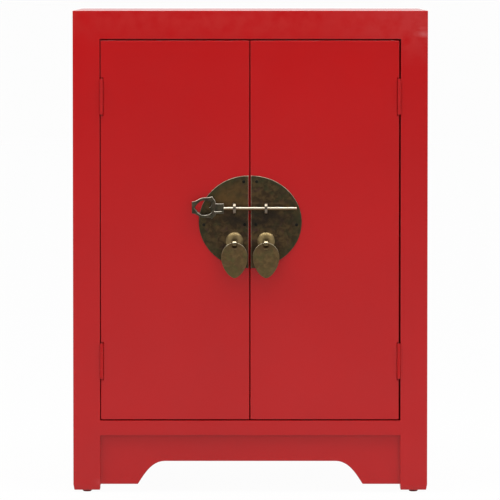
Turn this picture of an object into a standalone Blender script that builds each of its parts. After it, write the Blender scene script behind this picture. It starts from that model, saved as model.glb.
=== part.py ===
"""A two-door nightstand in the Chinese manner: a red lacquered frame with panels, a round brass lock plate
split between the doors, a sliding bolt through two staples, and two leaf pulls.

Metres, +Z up, the front towards -Y. The feet stand on z = 0 and the origin is in the middle of the floor
rectangle that the cabinet and its hardware fill.
"""

import math

import bmesh
import bpy
from mathutils import Matrix, Vector

# Overall size of the case, glides included
WIDTH = 0.420
DEPTH = 0.350
HEIGHT = 0.5713

# Clearance between pieces that touch
FIT = 0.0003

# Frame: square posts, mitred top rails, lower rails between the posts
POST = 0.032
TOP_RAIL_HEIGHT = 0.0335
LOWER_RAIL_HEIGHT = 0.0176
LOWER_RAIL_UNDERSIDE = 0.0681
EDGE_ROUND = 0.0015
FOOT_TAPER = 0.0015
FOOT_TAPER_HEIGHT = 0.0066

# Domed glides under the posts
GLIDE_DROP = 0.003
GLIDE_RADIUS = 0.0055
GLIDE_FLAT_RADIUS = 0.0025
GLIDE_NAIL_RADIUS = 0.0014
GLIDE_NAIL_LENGTH = 0.012

# Panels, held by a tongue in grooves and rebates of the frame
TONGUE = 0.006
TOP_PANEL = 0.012
SIDE_PANEL = 0.009
SIDE_PANEL_SETBACK = 0.003
BACK_PANEL = 0.005
BACK_PANEL_SETBACK = 0.006
BOTTOM_PANEL = 0.009

# Shelf on cleats, and the batten that stops the doors
SHELF = 0.012
SHELF_HEIGHT = 0.318
SHELF_SETBACK = 0.030
CLEAT = 0.014
STOP_LENGTH = 0.300
STOP_DEPTH = 0.012
STOP_HEIGHT = 0.010

# Aprons under the lower rails
APRON = 0.012
APRON_SETBACK = 0.0025
APRON_HEIGHT = 0.0585
SPANDREL = 0.0445
ARCH_RUN = 0.0321
ARCH_RISE = 0.0278
ARCH_START_ANGLE = math.radians(57)
ARCH_START_PULL = 0.0128
ARCH_CROWN_PULL = 0.0160

# Doors
DOOR = 0.016
DOOR_GAP = 0.0018
MEETING_GAP = 0.0020
DOOR_ROUND = 0.0008

# Butt hinges: two leaves let into the edges, three knuckles and a pin
HINGE_HEIGHT = 0.0415
UPPER_HINGE_FROM_CORNER = 0.0681
LOWER_HINGE_FROM_CORNER = 0.0705
HINGE_PROUD = 0.0005
HINGE_LEAF = 0.0016
HINGE_LEAF_REACH = 0.0135
HINGE_LEAF_SPACE = 0.0004
KNUCKLE_RADIUS = 0.0021
KNUCKLE_CLEARANCE = 0.0008
CENTRE_KNUCKLE = 0.0200
KNUCKLE_TAB_INSET = 0.0001
HINGE_LEAF_END_INSET = 0.0002
PIN_RADIUS = 0.0011
PIN_END = 0.0006
PIN_END_ROUND = 0.0004

# Lock plate: two half ovals, one on each door
LOCK_HEIGHT = 0.3216
PLATE = 0.0010
PLATE_REACH = 0.0589
PLATE_HALF_HEIGHT = 0.0548
PLATE_INSET = 0.0010

# Where the staples and pulls stand, from the middle of the lock plate
HARDWARE_OFFSET = 0.0187
BOLT_RISE = 0.0163
PULL_DROP = 0.0231

# Split pins: the legs go through the door and bend over inside it
PIN_ARM = 0.008
STAPLE_OUTER = 0.0055
STAPLE_HALF_HEIGHT = 0.0066
STAPLE_BORE = 0.0026
STAPLE_WIDTH = 0.0040
STAPLE_LEG = 0.0012
STRAP_OUTER = 0.0034
STRAP_BORE = 0.0023
STRAP_WIDTH = 0.0046
STRAP_LEG = 0.0011

# Bolt: a round rod with a square shank and a flared loop for the finger
ROD_RADIUS = 0.0020
ROD_LENGTH = 0.0863
ROD_END_ROUND = 0.0007
BOLT_TIP = 0.0552
SHANK_LENGTH = 0.0095
SHANK_HALF_HEIGHT = 0.0061
BOLT_THICKNESS = 0.0032
HEAD_LENGTH = 0.0285
HEAD_END_HALF_HEIGHT = 0.0070
HEAD_BOW_HALF_HEIGHT = 0.0119
HEAD_FLARE_HALF_HEIGHT = 0.0134
HEAD_FLARE_LENGTH = 0.0043
HEAD_FLARE_DIP = 0.0036
HEAD_SWELL_PULL = 0.0060
HEAD_BAR = 0.0037
HEAD_HOLE_TIP_PULL = (0.0013, 0.0049)
HEAD_HOLE_PULL = 0.0057
HEAD_RISE = 0.0013

# Pulls: a hollow boss on the plate and a leaf hung from the strap
BOSS_RADIUS = 0.0104
BOSS_HEIGHT = 0.0042
BOSS_WALL = 0.0010
STRAP_LIFT = 0.0021
LEAF = 0.0012
LEAF_HALF_WIDTH = 0.01575
LEAF_BRIDGE = 0.0034
LEAF_SHOULDER = 0.0174
LEAF_TAIL = 0.0248
LEAF_SIDE_PULL = 0.0105
LEAF_TIP_PULL = (0.0075, 0.0010)
LEAF_HOLE_HALF_WIDTH = 0.0030
LEAF_HOLE_SIDE = 0.0016

# Facets
ROUND_STEPS = 24
SMALL_ROUND_STEPS = 16
CURVE_STEPS = 8
EDGE_STEPS = 2

# Places that follow from the sizes above
PLATE_FRONT = FIT + PLATE
BOSS_APEX = PLATE_FRONT + FIT + BOSS_HEIGHT
PULL_STANDOFF = BOSS_APEX + STRAP_LIFT + STRAP_OUTER
BOLT_STANDOFF = PLATE_FRONT + FIT + STAPLE_OUTER
HARDWARE_REACH = max(PULL_STANDOFF + STRAP_OUTER, BOLT_STANDOFF + STAPLE_OUTER)
FRONT = (HARDWARE_REACH - DEPTH) / 2
BACK = FRONT + DEPTH
SIDE = WIDTH / 2
OPENING_HALF = SIDE - POST
OPENING_BOTTOM = LOWER_RAIL_UNDERSIDE + LOWER_RAIL_HEIGHT
OPENING_TOP = HEIGHT - TOP_RAIL_HEIGHT
DOOR_BOTTOM = OPENING_BOTTOM + DOOR_GAP
DOOR_TOP = OPENING_TOP - DOOR_GAP
DOOR_EDGE = OPENING_HALF - DOOR_GAP
DOOR_BACK = FRONT + DOOR
HINGE_X = DOOR_EDGE
HINGE_Y = FRONT - HINGE_PROUD
HINGE_HEIGHTS = {
    "upper": OPENING_TOP - UPPER_HINGE_FROM_CORNER,
    "lower": OPENING_BOTTOM + LOWER_HINGE_FROM_CORNER,
}
KNUCKLE_BORE = PIN_RADIUS + FIT
OUTER_KNUCKLE = (HINGE_HEIGHT - CENTRE_KNUCKLE) / 2 - FIT
STAPLE_HEIGHT = LOCK_HEIGHT + BOLT_RISE
ROD_HEIGHT = STAPLE_HEIGHT - (STAPLE_BORE - ROD_RADIUS - FIT)
BOSS_CENTRE = LOCK_HEIGHT - PULL_DROP
STRAP_DROP = STRAP_OUTER - STRAP_LEG
PULL_HEIGHT = BOSS_CENTRE - STRAP_DROP
STAPLE_HOLE = math.hypot(STAPLE_WIDTH / 2, STAPLE_LEG) + FIT
STRAP_HOLE = math.hypot(STRAP_WIDTH / 2, STRAP_LEG) + FIT
SIDES = {"left": -1, "right": 1}
ENDS = {"front": (FRONT, 1), "rear": (BACK, -1)}

# Finishes: colour, roughness and metallic value
RED_LACQUER = ((0.47, 0.018, 0.019, 1), 0.38, 0.0)
RED_INSIDE = ((0.36, 0.016, 0.017, 1), 0.55, 0.0)
AGED_BRASS = ((0.075, 0.055, 0.032, 1), 0.42, 0.9)
WORN_BRASS = ((0.42, 0.32, 0.15, 1), 0.30, 1.0)
DARK_LACQUER = ((0.22, 0.012, 0.013, 1), 0.45, 0.0)

FACING_FRONT = (math.pi / 2, 0, 0)
FACING_SIDE = (math.pi / 2, 0, math.pi / 2)
ALONG_X = (0, math.pi / 2, 0)
SMOOTH_ANGLE = math.radians(35)
WELD = 1e-6


def clear_scene():
    """Takes every object out of the scene."""
    for found in list(bpy.data.objects):
        bpy.data.objects.remove(found, do_unlink=True)


def new_collection(name):
    """A collection of this name in the scene."""
    made = bpy.data.collections.new(name)
    bpy.context.scene.collection.children.link(made)
    return made


clear_scene()
PIECES = new_collection("nightstand")
CUTTERS = new_collection("cutters")


def dress(piece, finish):
    """Gives a piece its own material."""
    colour, roughness, metallic = finish
    material = bpy.data.materials.new(piece.name + "_finish")
    material.use_nodes = True
    shader = material.node_tree.nodes["Principled BSDF"]
    shader.inputs["Base Color"].default_value = colour
    shader.inputs["Roughness"].default_value = roughness
    shader.inputs["Metallic"].default_value = metallic
    material.diffuse_color = colour
    piece.data.materials.clear()
    piece.data.materials.append(material)


def place(name, mesh, finish=None, location=(0, 0, 0), rotation=(0, 0, 0)):
    """An object for a mesh: a piece of the cabinet where it has a finish, and a cutter where it has none."""
    made = bpy.data.objects.new(name, mesh)
    made.location = location
    made.rotation_euler = rotation
    if finish is None:
        CUTTERS.objects.link(made)
        made.hide_render = True
        made.display_type = "WIRE"
    else:
        PIECES.objects.link(made)
        dress(made, finish)
    return made


def mesh_of(name, shape):
    """A mesh from a bmesh, with its faces turned outwards."""
    bmesh.ops.recalc_face_normals(shape, faces=shape.faces)
    mesh = bpy.data.meshes.new(name)
    shape.to_mesh(mesh)
    shape.free()
    return mesh


def box_shape(low, high):
    """A bmesh box between two corners."""
    size = [high[axis] - low[axis] for axis in range(3)]
    middle = [(high[axis] + low[axis]) / 2 for axis in range(3)]
    shape = bmesh.new()
    matrix = Matrix.Translation(middle) @ Matrix.Diagonal((*size, 1))
    bmesh.ops.create_cube(shape, size=1, matrix=matrix)
    return shape


def block(name, low, high, finish=None, rounding=0):
    """A box between two corners, placed by its middle, with its edges rounded where that is asked for."""
    middle = (Vector(low) + Vector(high)) / 2
    shape = box_shape(Vector(low) - middle, Vector(high) - middle)
    made = place(name, mesh_of(name, shape), finish, middle)
    if rounding:
        bevel = made.modifiers.new("rounded edges", "BEVEL")
        bevel.width = rounding
        bevel.segments = EDGE_STEPS
    return made


def cylinder(name, radius, length, location, rotation=(0, 0, 0), steps=ROUND_STEPS):
    """A round cutter, along its own Z axis and centred on its place."""
    shape = bmesh.new()
    bmesh.ops.create_cone(
        shape, cap_ends=True, segments=steps, radius1=radius, radius2=radius, depth=length
    )
    return place(name, mesh_of(name, shape), None, location, rotation)


def arc(centre, radii, start, end, steps):
    """Points along an arc of a circle or an ellipse, both ends included."""
    angles = [start + (end - start) * step / steps for step in range(steps + 1)]
    return [
        (centre[0] + radii[0] * math.cos(angle), centre[1] + radii[1] * math.sin(angle))
        for angle in angles
    ]


def circle(centre, radius, steps=SMALL_ROUND_STEPS):
    """Points round a circle."""
    return arc(centre, (radius, radius), 0, 2 * math.pi, steps)[:-1]


def bezier(start, start_handle, end_handle, end, steps=CURVE_STEPS):
    """Points along a cubic curve, without its first one."""
    points = []
    for step in range(1, steps + 1):
        t = step / steps
        weights = ((1 - t) ** 3, 3 * t * (1 - t) ** 2, 3 * t * t * (1 - t), t**3)
        controls = (start, start_handle, end_handle, end)
        points.append(
            tuple(sum(w * control[axis] for w, control in zip(weights, controls)) for axis in (0, 1))
        )
    return points


def mirrored(points, axis):
    """Points reflected across the other axis of the outline, in the opposite order."""
    sign = (-1, 1) if axis == 0 else (1, -1)
    return [(sign[0] * x, sign[1] * y) for x, y in reversed(points)]


def outline_mesh(name, loops, thickness):
    """A flat plate from an outer loop and its holes, centred on its own XY plane."""
    curve = bpy.data.curves.new(name, "CURVE")
    curve.dimensions = "2D"
    curve.fill_mode = "BOTH"
    curve.extrude = thickness / 2
    for loop in loops:
        spline = curve.splines.new("POLY")
        spline.points.add(len(loop) - 1)
        spline.use_cyclic_u = True
        for point, (x, y) in zip(spline.points, loop):
            point.co = (x, y, 0, 1)
    holder = bpy.data.objects.new(name, curve)
    CUTTERS.objects.link(holder)
    graph = bpy.context.evaluated_depsgraph_get()
    filled = bpy.data.meshes.new_from_object(holder.evaluated_get(graph))
    bpy.data.objects.remove(holder, do_unlink=True)
    shape = bmesh.new()
    shape.from_mesh(filled)
    bmesh.ops.remove_doubles(shape, verts=shape.verts, dist=WELD)
    mesh = mesh_of(name, shape)
    mesh.shade_smooth()
    mesh.set_sharp_from_angle(angle=SMOOTH_ANGLE)
    return mesh


def turned(name, profile, finish, location, rotation=(0, 0, 0), steps=ROUND_STEPS, closed=False):
    """A turned piece from a profile of radius and height that runs down its outer side."""
    count = len(profile)
    edges = [(index, index + 1) for index in range(count - 1)]
    if closed:
        edges.append((count - 1, 0))
    mesh = bpy.data.meshes.new(name)
    mesh.from_pydata([(radius, 0, height) for radius, height in profile], edges, [])
    made = place(name, mesh, finish, location, rotation)
    screw = made.modifiers.new("turned", "SCREW")
    screw.steps = steps
    screw.render_steps = steps
    screw.use_merge_vertices = True
    screw.merge_threshold = WELD
    screw.use_smooth_shade = True
    return made


def rod_profile(radius, half_length, end_round):
    """The profile of a rod along Z with eased ends."""
    return [
        (0, half_length),
        (radius - end_round, half_length),
        (radius, half_length - end_round),
        (radius, end_round - half_length),
        (radius - end_round, -half_length),
        (0, -half_length),
    ]


def boolean(piece, other, operation):
    """Cuts a piece by another object, or joins that object to it."""
    modifier = piece.modifiers.new(other.name, "BOOLEAN")
    modifier.operation = operation
    modifier.object = other
    modifier.solver = "EXACT"


def cut(piece, *cutters):
    """Takes the cutters out of a piece."""
    for cutter in cutters:
        boolean(piece, cutter, "DIFFERENCE")


def pivot(name, location, parent=None):
    """An empty on a joint's axis."""
    made = bpy.data.objects.new(name, None)
    made.empty_display_size = 0.02
    made.location = location
    PIECES.objects.link(made)
    if parent:
        hang(parent, made)
    return made


def hang(parent, *pieces):
    """Hangs pieces on a pivot without moving them."""
    for piece in pieces:
        piece.parent = parent
        piece.matrix_parent_inverse = Matrix.Translation(parent.location).inverted()


def round_edges(shape, direction, corner, width):
    """Rounds the box edges that run along one axis through a corner."""
    across = [axis for axis in range(3) if axis != direction]
    edges = [
        edge
        for edge in shape.edges
        if all(abs(vert.co[axis] - corner[axis]) < FIT / 10 for vert in edge.verts for axis in across)
    ]
    bmesh.ops.bevel(
        shape, geom=edges, offset=width, segments=EDGE_STEPS, profile=0.5, affect="EDGES"
    )


def slice_off(shape, point, normal):
    """Takes off what lies beyond a plane and closes the cut."""
    everything = shape.verts[:] + shape.edges[:] + shape.faces[:]
    sliced = bmesh.ops.bisect_plane(
        shape, geom=everything, dist=WELD / 10, plane_co=point, plane_no=normal, clear_outer=True
    )
    rim = [item for item in sliced["geom_cut"] if isinstance(item, bmesh.types.BMEdge)]
    bmesh.ops.edgeloop_fill(shape, edges=rim)


def mitre(shape, corner, *normals):
    """Cuts a frame member back from its neighbours by planes through a corner, half the clearance each."""
    for normal in normals:
        unit = Vector(normal).normalized()
        slice_off(shape, Vector(corner) - unit * FIT / 2, unit)


def mitre_normals(side, inward):
    """Normals of the three planes that part post, cross rail and side rail at an upper corner.

    They point out of the post towards the cross rail, out of the post towards the side rail, and out of
    the side rail towards the cross rail.
    """
    post_to_cross = Vector((-side / POST, 0, 1 / TOP_RAIL_HEIGHT))
    post_to_side = Vector((0, inward / POST, 1 / TOP_RAIL_HEIGHT))
    side_to_cross = Vector((-side, -inward, 0))
    return post_to_cross, post_to_side, side_to_cross


def make_post(side_name, end_name):
    """A post, mitred at the top, with a foot that narrows a little towards the glide."""
    side = SIDES[side_name]
    face, inward = ENDS[end_name]
    xs = sorted((side * SIDE, side * OPENING_HALF))
    ys = sorted((face, face + inward * POST))
    shape = box_shape((xs[0], ys[0], GLIDE_DROP), (xs[1], ys[1], HEIGHT))
    corner = (side * SIDE, face, HEIGHT)
    round_edges(shape, 2, corner, EDGE_ROUND)
    everything = shape.verts[:] + shape.edges[:] + shape.faces[:]
    taper_from = (0, 0, GLIDE_DROP + FOOT_TAPER_HEIGHT)
    bmesh.ops.bisect_plane(shape, geom=everything, plane_co=taper_from, plane_no=(0, 0, 1))
    for vert in shape.verts:
        if vert.co.z < GLIDE_DROP + FIT:
            if abs(vert.co.x - side * OPENING_HALF) < FIT:
                vert.co.x += side * FOOT_TAPER
            if abs(vert.co.y - face - inward * POST) < FIT:
                vert.co.y -= inward * FOOT_TAPER
    to_cross, to_side, _ = mitre_normals(side, inward)
    mitre(shape, corner, to_cross, to_side)
    name = f"{side_name}_{end_name}_post"
    return place(name, mesh_of(name, shape), RED_LACQUER)


def make_glide(side_name, end_name):
    """A domed glide with its nail, and the hole for the nail."""
    side = SIDES[side_name]
    face, inward = ENDS[end_name]
    spot = (side * (SIDE - POST / 2), face + inward * POST / 2, 0)
    shoulder = GLIDE_DROP - FIT
    dome_radii = (GLIDE_RADIUS - GLIDE_FLAT_RADIUS, shoulder)
    dome = arc((GLIDE_FLAT_RADIUS, shoulder), dome_radii, 0, -math.pi / 2, CURVE_STEPS // 2)
    nail_top = shoulder + GLIDE_NAIL_LENGTH
    profile = [(0, nail_top), (GLIDE_NAIL_RADIUS, nail_top), (GLIDE_NAIL_RADIUS, shoulder), *dome, (0, 0)]
    name = f"{side_name}_{end_name}_glide"
    glide = turned(name, profile, DARK_LACQUER, spot, steps=SMALL_ROUND_STEPS)
    bore_top = nail_top + FIT
    bore = cylinder(
        name + "_bore",
        GLIDE_NAIL_RADIUS + FIT,
        2 * bore_top,
        spot,
        steps=SMALL_ROUND_STEPS,
    )
    return glide, bore


def make_cross_rail(end_name):
    """The front or rear top rail, mitred to the posts and the side rails."""
    face, inward = ENDS[end_name]
    ys = sorted((face, face + inward * POST))
    shape = box_shape((-SIDE, ys[0], OPENING_TOP), (SIDE, ys[1], HEIGHT))
    round_edges(shape, 0, (0, face, HEIGHT), EDGE_ROUND)
    for side in SIDES.values():
        to_cross, _, side_to_cross = mitre_normals(side, inward)
        mitre(shape, (side * SIDE, face, HEIGHT), -to_cross, -side_to_cross)
    name = f"{end_name}_top_rail"
    return place(name, mesh_of(name, shape), RED_LACQUER)


def make_side_rail(side_name):
    """A top rail along one side, mitred to the posts and the cross rails."""
    side = SIDES[side_name]
    xs = sorted((side * SIDE, side * OPENING_HALF))
    shape = box_shape((xs[0], FRONT, OPENING_TOP), (xs[1], BACK, HEIGHT))
    round_edges(shape, 1, (side * SIDE, 0, HEIGHT), EDGE_ROUND)
    for face, inward in ENDS.values():
        _, to_side, side_to_cross = mitre_normals(side, inward)
        mitre(shape, (side * SIDE, face, HEIGHT), -to_side, side_to_cross)
    name = f"{side_name}_top_rail"
    return place(name, mesh_of(name, shape), RED_LACQUER)


def make_lower_rails():
    """The four rails between the posts under the doors and panels."""
    low, high = LOWER_RAIL_UNDERSIDE, OPENING_BOTTOM
    rails = {}
    reach = OPENING_HALF - FIT
    for end_name, (face, inward) in ENDS.items():
        ys = sorted((face, face + inward * POST))
        rails[end_name] = block(
            f"{end_name}_lower_rail", (-reach, ys[0], low), (reach, ys[1], high), RED_LACQUER
        )
    for side_name, side in SIDES.items():
        xs = sorted((side * SIDE, side * OPENING_HALF))
        rails[side_name] = block(
            f"{side_name}_lower_rail",
            (xs[0], FRONT + POST + FIT, low),
            (xs[1], BACK - POST - FIT, high),
            RED_LACQUER,
        )
    return rails


def panel_and_groove(name, low, high, finish):
    """A panel, and the cutter for the grooves that hold it."""
    panel = block(name, low, high, finish)
    gap = Vector((FIT, FIT, FIT))
    groove = block(name + "_groove", Vector(low) - gap, Vector(high) + gap)
    return panel, groove


def make_case():
    """Posts, rails, panels and glides, cut to hold one another. Returns the front posts by side."""
    posts = {(side, end): make_post(side, end) for side in SIDES for end in ENDS}
    cross_rails = {end: make_cross_rail(end) for end in ENDS}
    side_rails = {side: make_side_rail(side) for side in SIDES}
    lower_rails = make_lower_rails()

    for (side_name, end_name), post in posts.items():
        _, bore = make_glide(side_name, end_name)
        cut(post, bore)

    half = OPENING_HALF + TONGUE
    front_edge = FRONT + POST - TONGUE
    rear_edge = BACK - POST + TONGUE
    _, rebate = panel_and_groove(
        "top_panel",
        (-half, front_edge, HEIGHT - TOP_PANEL),
        (half, rear_edge, HEIGHT),
        RED_LACQUER,
    )
    for rail in (*cross_rails.values(), *side_rails.values()):
        cut(rail, rebate)

    panel_low = OPENING_BOTTOM - TONGUE
    panel_high = OPENING_TOP + TONGUE
    for side_name, side in SIDES.items():
        outer = side * (SIDE - SIDE_PANEL_SETBACK)
        xs = sorted((outer, outer - side * SIDE_PANEL))
        _, groove = panel_and_groove(
            f"{side_name}_side_panel",
            (xs[0], front_edge, panel_low),
            (xs[1], rear_edge, panel_high),
            RED_LACQUER,
        )
        members = [posts[side_name, end] for end in ENDS]
        for member in (*members, side_rails[side_name], lower_rails[side_name]):
            cut(member, groove)

    back_face = BACK - BACK_PANEL_SETBACK
    _, groove = panel_and_groove(
        "back_panel",
        (-half, back_face - BACK_PANEL, panel_low),
        (half, back_face, panel_high),
        RED_INSIDE,
    )
    members = [posts[side, "rear"] for side in SIDES]
    for member in (*members, cross_rails["rear"], lower_rails["rear"]):
        cut(member, groove)

    reach = OPENING_HALF - FIT
    _, groove = panel_and_groove(
        "bottom_panel",
        (-reach, front_edge, OPENING_BOTTOM - BOTTOM_PANEL),
        (reach, rear_edge, OPENING_BOTTOM),
        RED_INSIDE,
    )
    for end in ENDS:
        cut(lower_rails[end], groove)
    return {side: posts[side, "front"] for side in SIDES}


def make_shelf():
    """The shelf, notched round the posts, on a cleat at each side."""
    half = SIDE - SIDE_PANEL_SETBACK - SIDE_PANEL - FIT
    notch = OPENING_HALF - FIT
    front = FRONT + SHELF_SETBACK
    rear = BACK - BACK_PANEL_SETBACK - BACK_PANEL - FIT
    behind_posts = max(FRONT + POST + FIT, front)
    before_posts = BACK - POST - FIT
    right_edge = [
        (notch, front),
        (notch, behind_posts),
        (half, behind_posts),
        (half, before_posts),
        (notch, before_posts),
        (notch, rear),
    ]
    loop = right_edge + mirrored(right_edge, 0)
    middle = (0, 0, SHELF_HEIGHT - SHELF / 2)
    place("shelf", outline_mesh("shelf", [loop], SHELF), RED_INSIDE, middle)
    cleat_top = SHELF_HEIGHT - SHELF - FIT
    for side_name, side in SIDES.items():
        xs = sorted((side * half, side * (half - CLEAT)))
        block(
            f"{side_name}_shelf_cleat",
            (xs[0], FRONT + POST + FIT, cleat_top - CLEAT),
            (xs[1], BACK - POST - FIT, cleat_top),
            RED_INSIDE,
        )


def make_door_stop():
    """The batten under the front top rail that the closed doors meet."""
    front = DOOR_BACK + FIT
    top = OPENING_TOP - FIT
    block(
        "door_stop",
        (-STOP_LENGTH / 2, front, top - STOP_HEIGHT),
        (STOP_LENGTH / 2, front + STOP_DEPTH, top),
        RED_INSIDE,
    )


def apron_loop(half_span):
    """The outline of an apron: plain spandrels at both ends and a flat arch that springs between them."""
    bottom = -APRON_HEIGHT
    spring = half_span - SPANDREL
    crown = spring - ARCH_RUN
    arch = bottom + ARCH_RISE
    start_handle = (
        spring - ARCH_START_PULL * math.cos(ARCH_START_ANGLE),
        bottom + ARCH_START_PULL * math.sin(ARCH_START_ANGLE),
    )
    end_handle = (crown + ARCH_CROWN_PULL, arch)
    right = [(half_span, -FIT), (half_span, bottom), (spring, bottom)]
    right += bezier((spring, bottom), start_handle, end_handle, (crown, arch))
    return right + mirrored(right, 0)


def make_aprons():
    """The front apron and the two side aprons, set back a little from the frame."""
    setback = APRON_SETBACK + APRON / 2
    loop = apron_loop(OPENING_HALF - FIT)
    mesh = outline_mesh("front_apron", [loop], APRON)
    place("front_apron", mesh, RED_LACQUER, (0, FRONT + setback, LOWER_RAIL_UNDERSIDE), FACING_FRONT)
    loop = apron_loop(DEPTH / 2 - POST - FIT)
    for side_name, side in SIDES.items():
        name = f"{side_name}_apron"
        spot = (side * (SIDE - setback), (FRONT + BACK) / 2, LOWER_RAIL_UNDERSIDE)
        place(name, outline_mesh(name, [loop], APRON), RED_LACQUER, spot, FACING_SIDE)


def knuckle_loops(towards):
    """A knuckle seen along the pin, with its bore and the tab that joins it to its leaf."""
    near = HINGE_LEAF_SPACE / 2 + KNUCKLE_TAB_INSET
    far = HINGE_LEAF_SPACE / 2 + HINGE_LEAF - KNUCKLE_TAB_INSET
    tab_end = KNUCKLE_RADIUS + KNUCKLE_CLEARANCE + HINGE_LEAF
    start = math.acos(near / KNUCKLE_RADIUS)
    end = math.acos(far / KNUCKLE_RADIUS) + 2 * math.pi
    ring = arc((0, 0), (KNUCKLE_RADIUS, KNUCKLE_RADIUS), start, end, ROUND_STEPS)
    loop = [*ring, (far, tab_end), (near, tab_end)]
    if towards < 0:
        loop = mirrored(loop, 0)
    return [loop, circle((0, 0), KNUCKLE_BORE)]


def make_hinge_leaf(name, axis, towards, knuckles):
    """One leaf of a hinge: a plate behind the pin, with the knuckles that belong to it.

    towards is the direction from the pin to the leaf along X, and each knuckle is its middle and its
    length along Z.
    """
    near = axis.x + towards * HINGE_LEAF_SPACE / 2
    xs = sorted((near, near + towards * HINGE_LEAF))
    half = HINGE_HEIGHT / 2 - HINGE_LEAF_END_INSET
    low = (xs[0], axis.y + KNUCKLE_RADIUS + KNUCKLE_CLEARANCE, axis.z - half)
    high = (xs[1], axis.y + HINGE_LEAF_REACH, axis.z + half)
    leaf = block(name, low, high, RED_LACQUER)
    for index, (middle, length) in enumerate(knuckles):
        knuckle_name = f"{name}_knuckle_{index}"
        mesh = outline_mesh(knuckle_name, knuckle_loops(towards), length)
        knuckle = place(knuckle_name, mesh, None, axis + Vector((0, 0, middle)))
        boolean(leaf, knuckle, "UNION")
    gap = Vector((FIT, FIT, FIT))
    mortise = block(name + "_mortise", Vector((low[0], axis.y, low[2])) - gap, Vector(high) + gap)
    return leaf, mortise


def make_hinge(side_name, level, post, door):
    """A butt hinge between a post and a door. Returns the leaf that turns with the door."""
    side = SIDES[side_name]
    axis = Vector((side * HINGE_X, HINGE_Y, HINGE_HEIGHTS[level]))
    name = f"{side_name}_{level}_hinge"
    outer_middle = (HINGE_HEIGHT - OUTER_KNUCKLE) / 2
    outer = [(outer_middle, OUTER_KNUCKLE), (-outer_middle, OUTER_KNUCKLE)]
    _, post_mortise = make_hinge_leaf(name + "_post_leaf", axis, side, outer)
    door_leaf, door_mortise = make_hinge_leaf(name + "_door_leaf", axis, -side, [(0, CENTRE_KNUCKLE)])
    tip = HINGE_HEIGHT / 2 + PIN_END
    profile = rod_profile(PIN_RADIUS, tip, PIN_END_ROUND)
    turned(name + "_pin", profile, RED_LACQUER, axis, steps=SMALL_ROUND_STEPS)
    recess_radius = KNUCKLE_RADIUS + KNUCKLE_CLEARANCE
    recess = cylinder(name + "_recess", recess_radius, 2 * (tip + FIT), axis)
    cut(post, recess, post_mortise)
    cut(door, recess, door_mortise)
    return door_leaf


def split_pin(name, x, height, standoff, outer, tall, bore, width, leg, stem_middle):
    """A split pin: an eye in front of the plate, two legs through the door, bent over behind it.

    The eye's centre is at this height and standoff from the door's face, outer and tall are its radii to
    the front and up, and stem_middle is how far the legs lie above its centre.
    """
    stem_low = stem_middle - leg
    stem_high = stem_middle + leg
    inner_face = standoff + DOOR + FIT
    tail = inner_face + leg
    start = math.asin(stem_low / tall)
    end = math.asin(min(1.0, stem_high / tall)) - 2 * math.pi
    loop = arc((0, 0), (outer, tall), start, end, ROUND_STEPS)
    loop += [
        (inner_face, stem_high),
        (inner_face, stem_high + PIN_ARM),
        (tail, stem_high + PIN_ARM),
        (tail, stem_low - PIN_ARM),
        (inner_face, stem_low - PIN_ARM),
        (inner_face, stem_low),
    ]
    mesh = outline_mesh(name, [loop, circle((0, 0), bore, ROUND_STEPS)], width)
    return place(name, mesh, WORN_BRASS, (x, FRONT - standoff, height), FACING_SIDE)


def make_lock_plate(side_name, holes):
    """Half of the round lock plate, with holes for the staple and the pull."""
    side = SIDES[side_name]
    inner = MEETING_GAP / 2 + PLATE_INSET
    rim = arc((inner, 0), (PLATE_REACH, PLATE_HALF_HEIGHT), -math.pi / 2, math.pi / 2, ROUND_STEPS)
    loops = [rim]
    for height, radius in holes:
        loops.append(circle((HARDWARE_OFFSET, height - LOCK_HEIGHT), radius))
    if side < 0:
        loops = [mirrored(loop, 0) for loop in loops]
    name = f"{side_name}_lock_plate"
    spot = (0, FRONT - FIT - PLATE / 2, LOCK_HEIGHT)
    return place(name, outline_mesh(name, loops, PLATE), AGED_BRASS, spot, FACING_FRONT)


def make_boss(side_name):
    """The hollow domed boss between the lock plate and the pull."""
    ball = (BOSS_RADIUS**2 + BOSS_HEIGHT**2) / (2 * BOSS_HEIGHT)
    sunk = ball - BOSS_HEIGHT
    inner_ball = ball - BOSS_WALL
    outer_start = math.acos(STRAP_HOLE / ball)
    outer_end = math.asin(sunk / ball)
    inner_start = math.asin(sunk / inner_ball)
    inner_end = math.acos(STRAP_HOLE / inner_ball)
    outside = arc((0, -sunk), (ball, ball), outer_start, outer_end, CURVE_STEPS)
    inside = arc((0, -sunk), (inner_ball, inner_ball), inner_start, inner_end, CURVE_STEPS)
    name = f"{side_name}_pull_boss"
    spot = (SIDES[side_name] * HARDWARE_OFFSET, FRONT - PLATE_FRONT - FIT, BOSS_CENTRE)
    return turned(name, outside + inside, WORN_BRASS, spot, FACING_FRONT, closed=True)


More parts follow.
